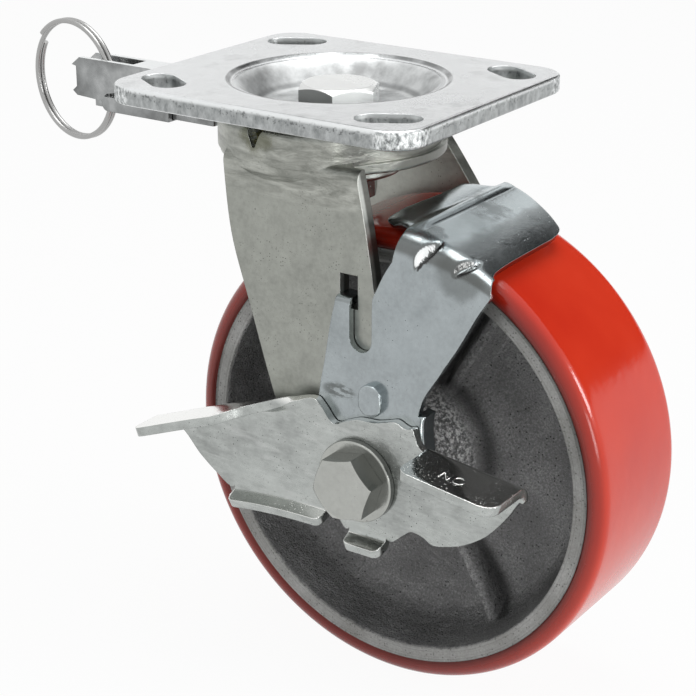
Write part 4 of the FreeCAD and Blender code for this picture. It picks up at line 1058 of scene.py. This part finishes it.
# %% Put the pedal together
def pedal():
    """Both arms and the two lower flanges, welded where they meet."""
    x, back = pedal_back()
    grids = [back, pedal_front()] + [lower_flange(x, back, *ends) for ends in (BACK_FLANGE, FRONT_FLANGE)]
    pieces = [surface("pedal_part", grid, flip=number < 2) for number, grid in enumerate(grids)]
    return join("pedal", pieces)


pedal_piece = pedal()
finish_sheet(pedal_piece, PEDAL_SHEET * MM, 0, 0.5 * MM, "pedal_body", "brake_pedal", pedal_finish)


# %% [markdown]
# ## ON
# The front pad is stamped ON. The letters are raised a little and read from the wheel's side. They start as a text
# curve, which is made a mesh before its points are put in place, because a finished piece has no turn of its own.

# %% Letters on the front pad
LETTERS_X = ON_START + 15.0


def letters():
    """Raised letters, turned half round and laid on the pad's slope."""
    curve = bpy.data.curves.new("letters", "FONT")
    curve.body = "ON"
    curve.size = 6.4 * MM
    curve.space_character = 1.15
    curve.extrude = 0.12 * MM
    curve.bevel_depth = 0.035 * MM
    curve.align_x = "CENTER"
    curve.align_y = "CENTER"
    typed = added("letters", curve)
    mesh = bpy.data.meshes.new_from_object(typed.evaluated_get(bpy.context.evaluated_depsgraph_get()))
    bpy.data.objects.remove(typed)
    flat = np.zeros(len(mesh.vertices) * 3)
    mesh.vertices.foreach_get("co", flat)
    x, y, high = flat.reshape(-1, 3).T
    x = -x * 0.8
    slope = math.atan(PAD_FALL)
    points = placed(LETTERS_X * MM + x * math.cos(slope) + high * math.sin(slope),
                    (pedal_face - 10.5) * MM - y,
                    (PAD_TOP - (LETTERS_X - ON_START) * PAD_FALL) * MM - x * math.sin(slope) + high * math.cos(slope))
    mesh.vertices.foreach_set("co", points.reshape(-1))
    piece = added("on_letters", mesh)
    piece.data.materials.clear()
    piece.data.materials.append(pedal_finish)
    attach(piece, "pedal_body")


letters()

# %% [markdown]
# ## The studio
# A pale floor and a white surround, as in the photograph. The camera, mirrors and glass see them pure white, while
# the light that falls on the object comes from the lamps and a dimmer sky. Polished metal in an all-white room looks
# like paper, so photographers hang dark cards where the metal will mirror them. Two hang here, out of the picture:
# one behind and above, which darkens the pads that face up, and one at the right, which darkens the hexagons' flats.
# Three soft lamps light it: a large one above, one from the right, and a small low one that reaches into the hub.


# %% White surround that only the camera and reflections see
def seen_or_mirrored(tree):
    """1 for rays that show the surroundings: from the camera, in a reflection or through glass."""
    camera = tree.node("ShaderNodeLightPath", {}, [], "Is Camera Ray")
    mirrored = camera.maths("MAXIMUM", camera.other("Is Glossy Ray"))
    return mirrored.maths("MAXIMUM", camera.other("Is Transmission Ray"))


def surround(light):
    """World that shows as white and lights the object with a plain, dimmer sky."""
    world = bpy.data.worlds.new("surround")
    bpy.context.scene.world = world
    tree = Tree(world)
    tree.nodes.clear()
    dim, white = [tree.node("ShaderNodeBackground", {}, {"Color": grey(1), "Strength": s}) for s in (light, 1.0)]
    mixed = tree.node("ShaderNodeMixShader", {}, [seen_or_mirrored(tree), dim, white])
    tree.links.new(mixed.socket, tree.nodes.new("ShaderNodeOutputWorld").inputs[0])


def floor(share):
    """Large flat floor just under the tyre; share of it shows as pure white, and the rest keeps the shadow."""
    across = np.linspace(-4, 4, 3)
    x, y = np.meshgrid(across, across, indexing="ij")
    grid = np.stack([x, y, np.full((3, 3), axle[2] - wheel_radius - 0.0003)], -1)
    piece = surface("floor", grid)
    f = Finish("floor white", grey(0.8), 0.9)
    bright = f.node("ShaderNodeEmission", {}, {"Color": grey(1), "Strength": 1.0})
    lit = Value(f, f.shader.outputs["BSDF"])
    blend = f.node("ShaderNodeMixShader", {}, [seen_or_mirrored(f) * share, lit, bright])
    f.links.new(blend.socket, f.nodes["Material Output"].inputs["Surface"])
    piece.data.materials.append(f.material)


def card(name, azimuth, elevation, away, wide, high, dark):
    """Dark card that faces the object: it shows in reflections and takes no light away."""
    az, el = math.radians(azimuth), math.radians(elevation)
    toward = np.array([math.cos(az) * math.cos(el), math.sin(az) * math.cos(el), math.sin(el)])
    side = np.array([-math.sin(az), math.cos(az), 0.0])
    up = np.cross(toward, side)
    a, b = np.meshgrid(np.linspace(-0.5, 0.5, 3), np.linspace(-0.5, 0.5, 3), indexing="ij")
    piece = surface(name, toward * away + a[..., None] * side * wide + b[..., None] * up * high)
    f = Finish(name, grey(dark), 1.0)
    f.shader.inputs["Specular IOR Level"].default_value = 0.0
    piece.data.materials.append(f.material)
    piece.visible_camera = piece.visible_diffuse = piece.visible_shadow = False


surround(0.27)
floor(0.95)
card("card_behind", 121, 30, 1.5, 0.56, 0.42, 0.03)
card("card_right", 65, 23, 1.5, 1.45, 0.98, 0.04)


# %% Lamps
def lamp(name, place, aim, size, watts):
    """Square soft lamp at place, pointed at aim."""
    data = bpy.data.lights.new(name, "AREA")
    data.size = size
    data.energy = watts
    made = added(name, data)
    made.location = place
    made.rotation_euler = (Vector(aim) - Vector(place)).to_track_quat("-Z", "Y").to_euler()


middle = (0.02, 0.0, -0.08)
lamp("softbox above", (0.0, 0.15, 1.1), middle, 0.8, 8.0)
lamp("softbox low", (0.95, -0.42, -0.02), middle, 0.25, 1.2)
lamp("softbox right", (1.0, 0.15, 0.3), middle, 0.32, 4.5)

# %% [markdown]
# ## The camera
# The photograph's view was found by fitting known round and square features of the castor: 34.4 degrees round from
# the brake side, 21.3 degrees up, with a long lens from just over half a metre.

# %% Camera
AZIMUTH, ELEVATION = 34.389, 21.340
DISTANCE = 0.585944
AIM_ACROSS, AIM_UP = 0.002811, -0.085722
FOCAL_PIXELS, PICTURE_PIXELS = 1855.935, 696


def photograph_camera():
    """Camera at the fitted place: back from the aim point along the view direction."""
    az, el = math.radians(AZIMUTH), math.radians(ELEVATION)
    back = Vector((math.sin(az) * math.cos(el), -math.cos(az) * math.cos(el), math.sin(el)))
    right = Vector((math.cos(az), math.sin(az), 0))
    up = back.cross(right)
    data = bpy.data.cameras.new("photograph")
    data.sensor_width = 36
    data.lens = FOCAL_PIXELS * 36 / PICTURE_PIXELS
    data.clip_start = 0.01
    camera = added("photograph", data)
    camera.location = right * AIM_ACROSS + up * AIM_UP + back * DISTANCE
    camera.rotation_euler = back.to_track_quat("Z", "Y").to_euler()
    bpy.context.scene.camera = camera


photograph_camera()
bpy.context.scene.view_settings.view_transform = "Standard"

# %% The two boxes as plain lists
def plain(box):
    return [[float(v) for v in corner] for corner in box]
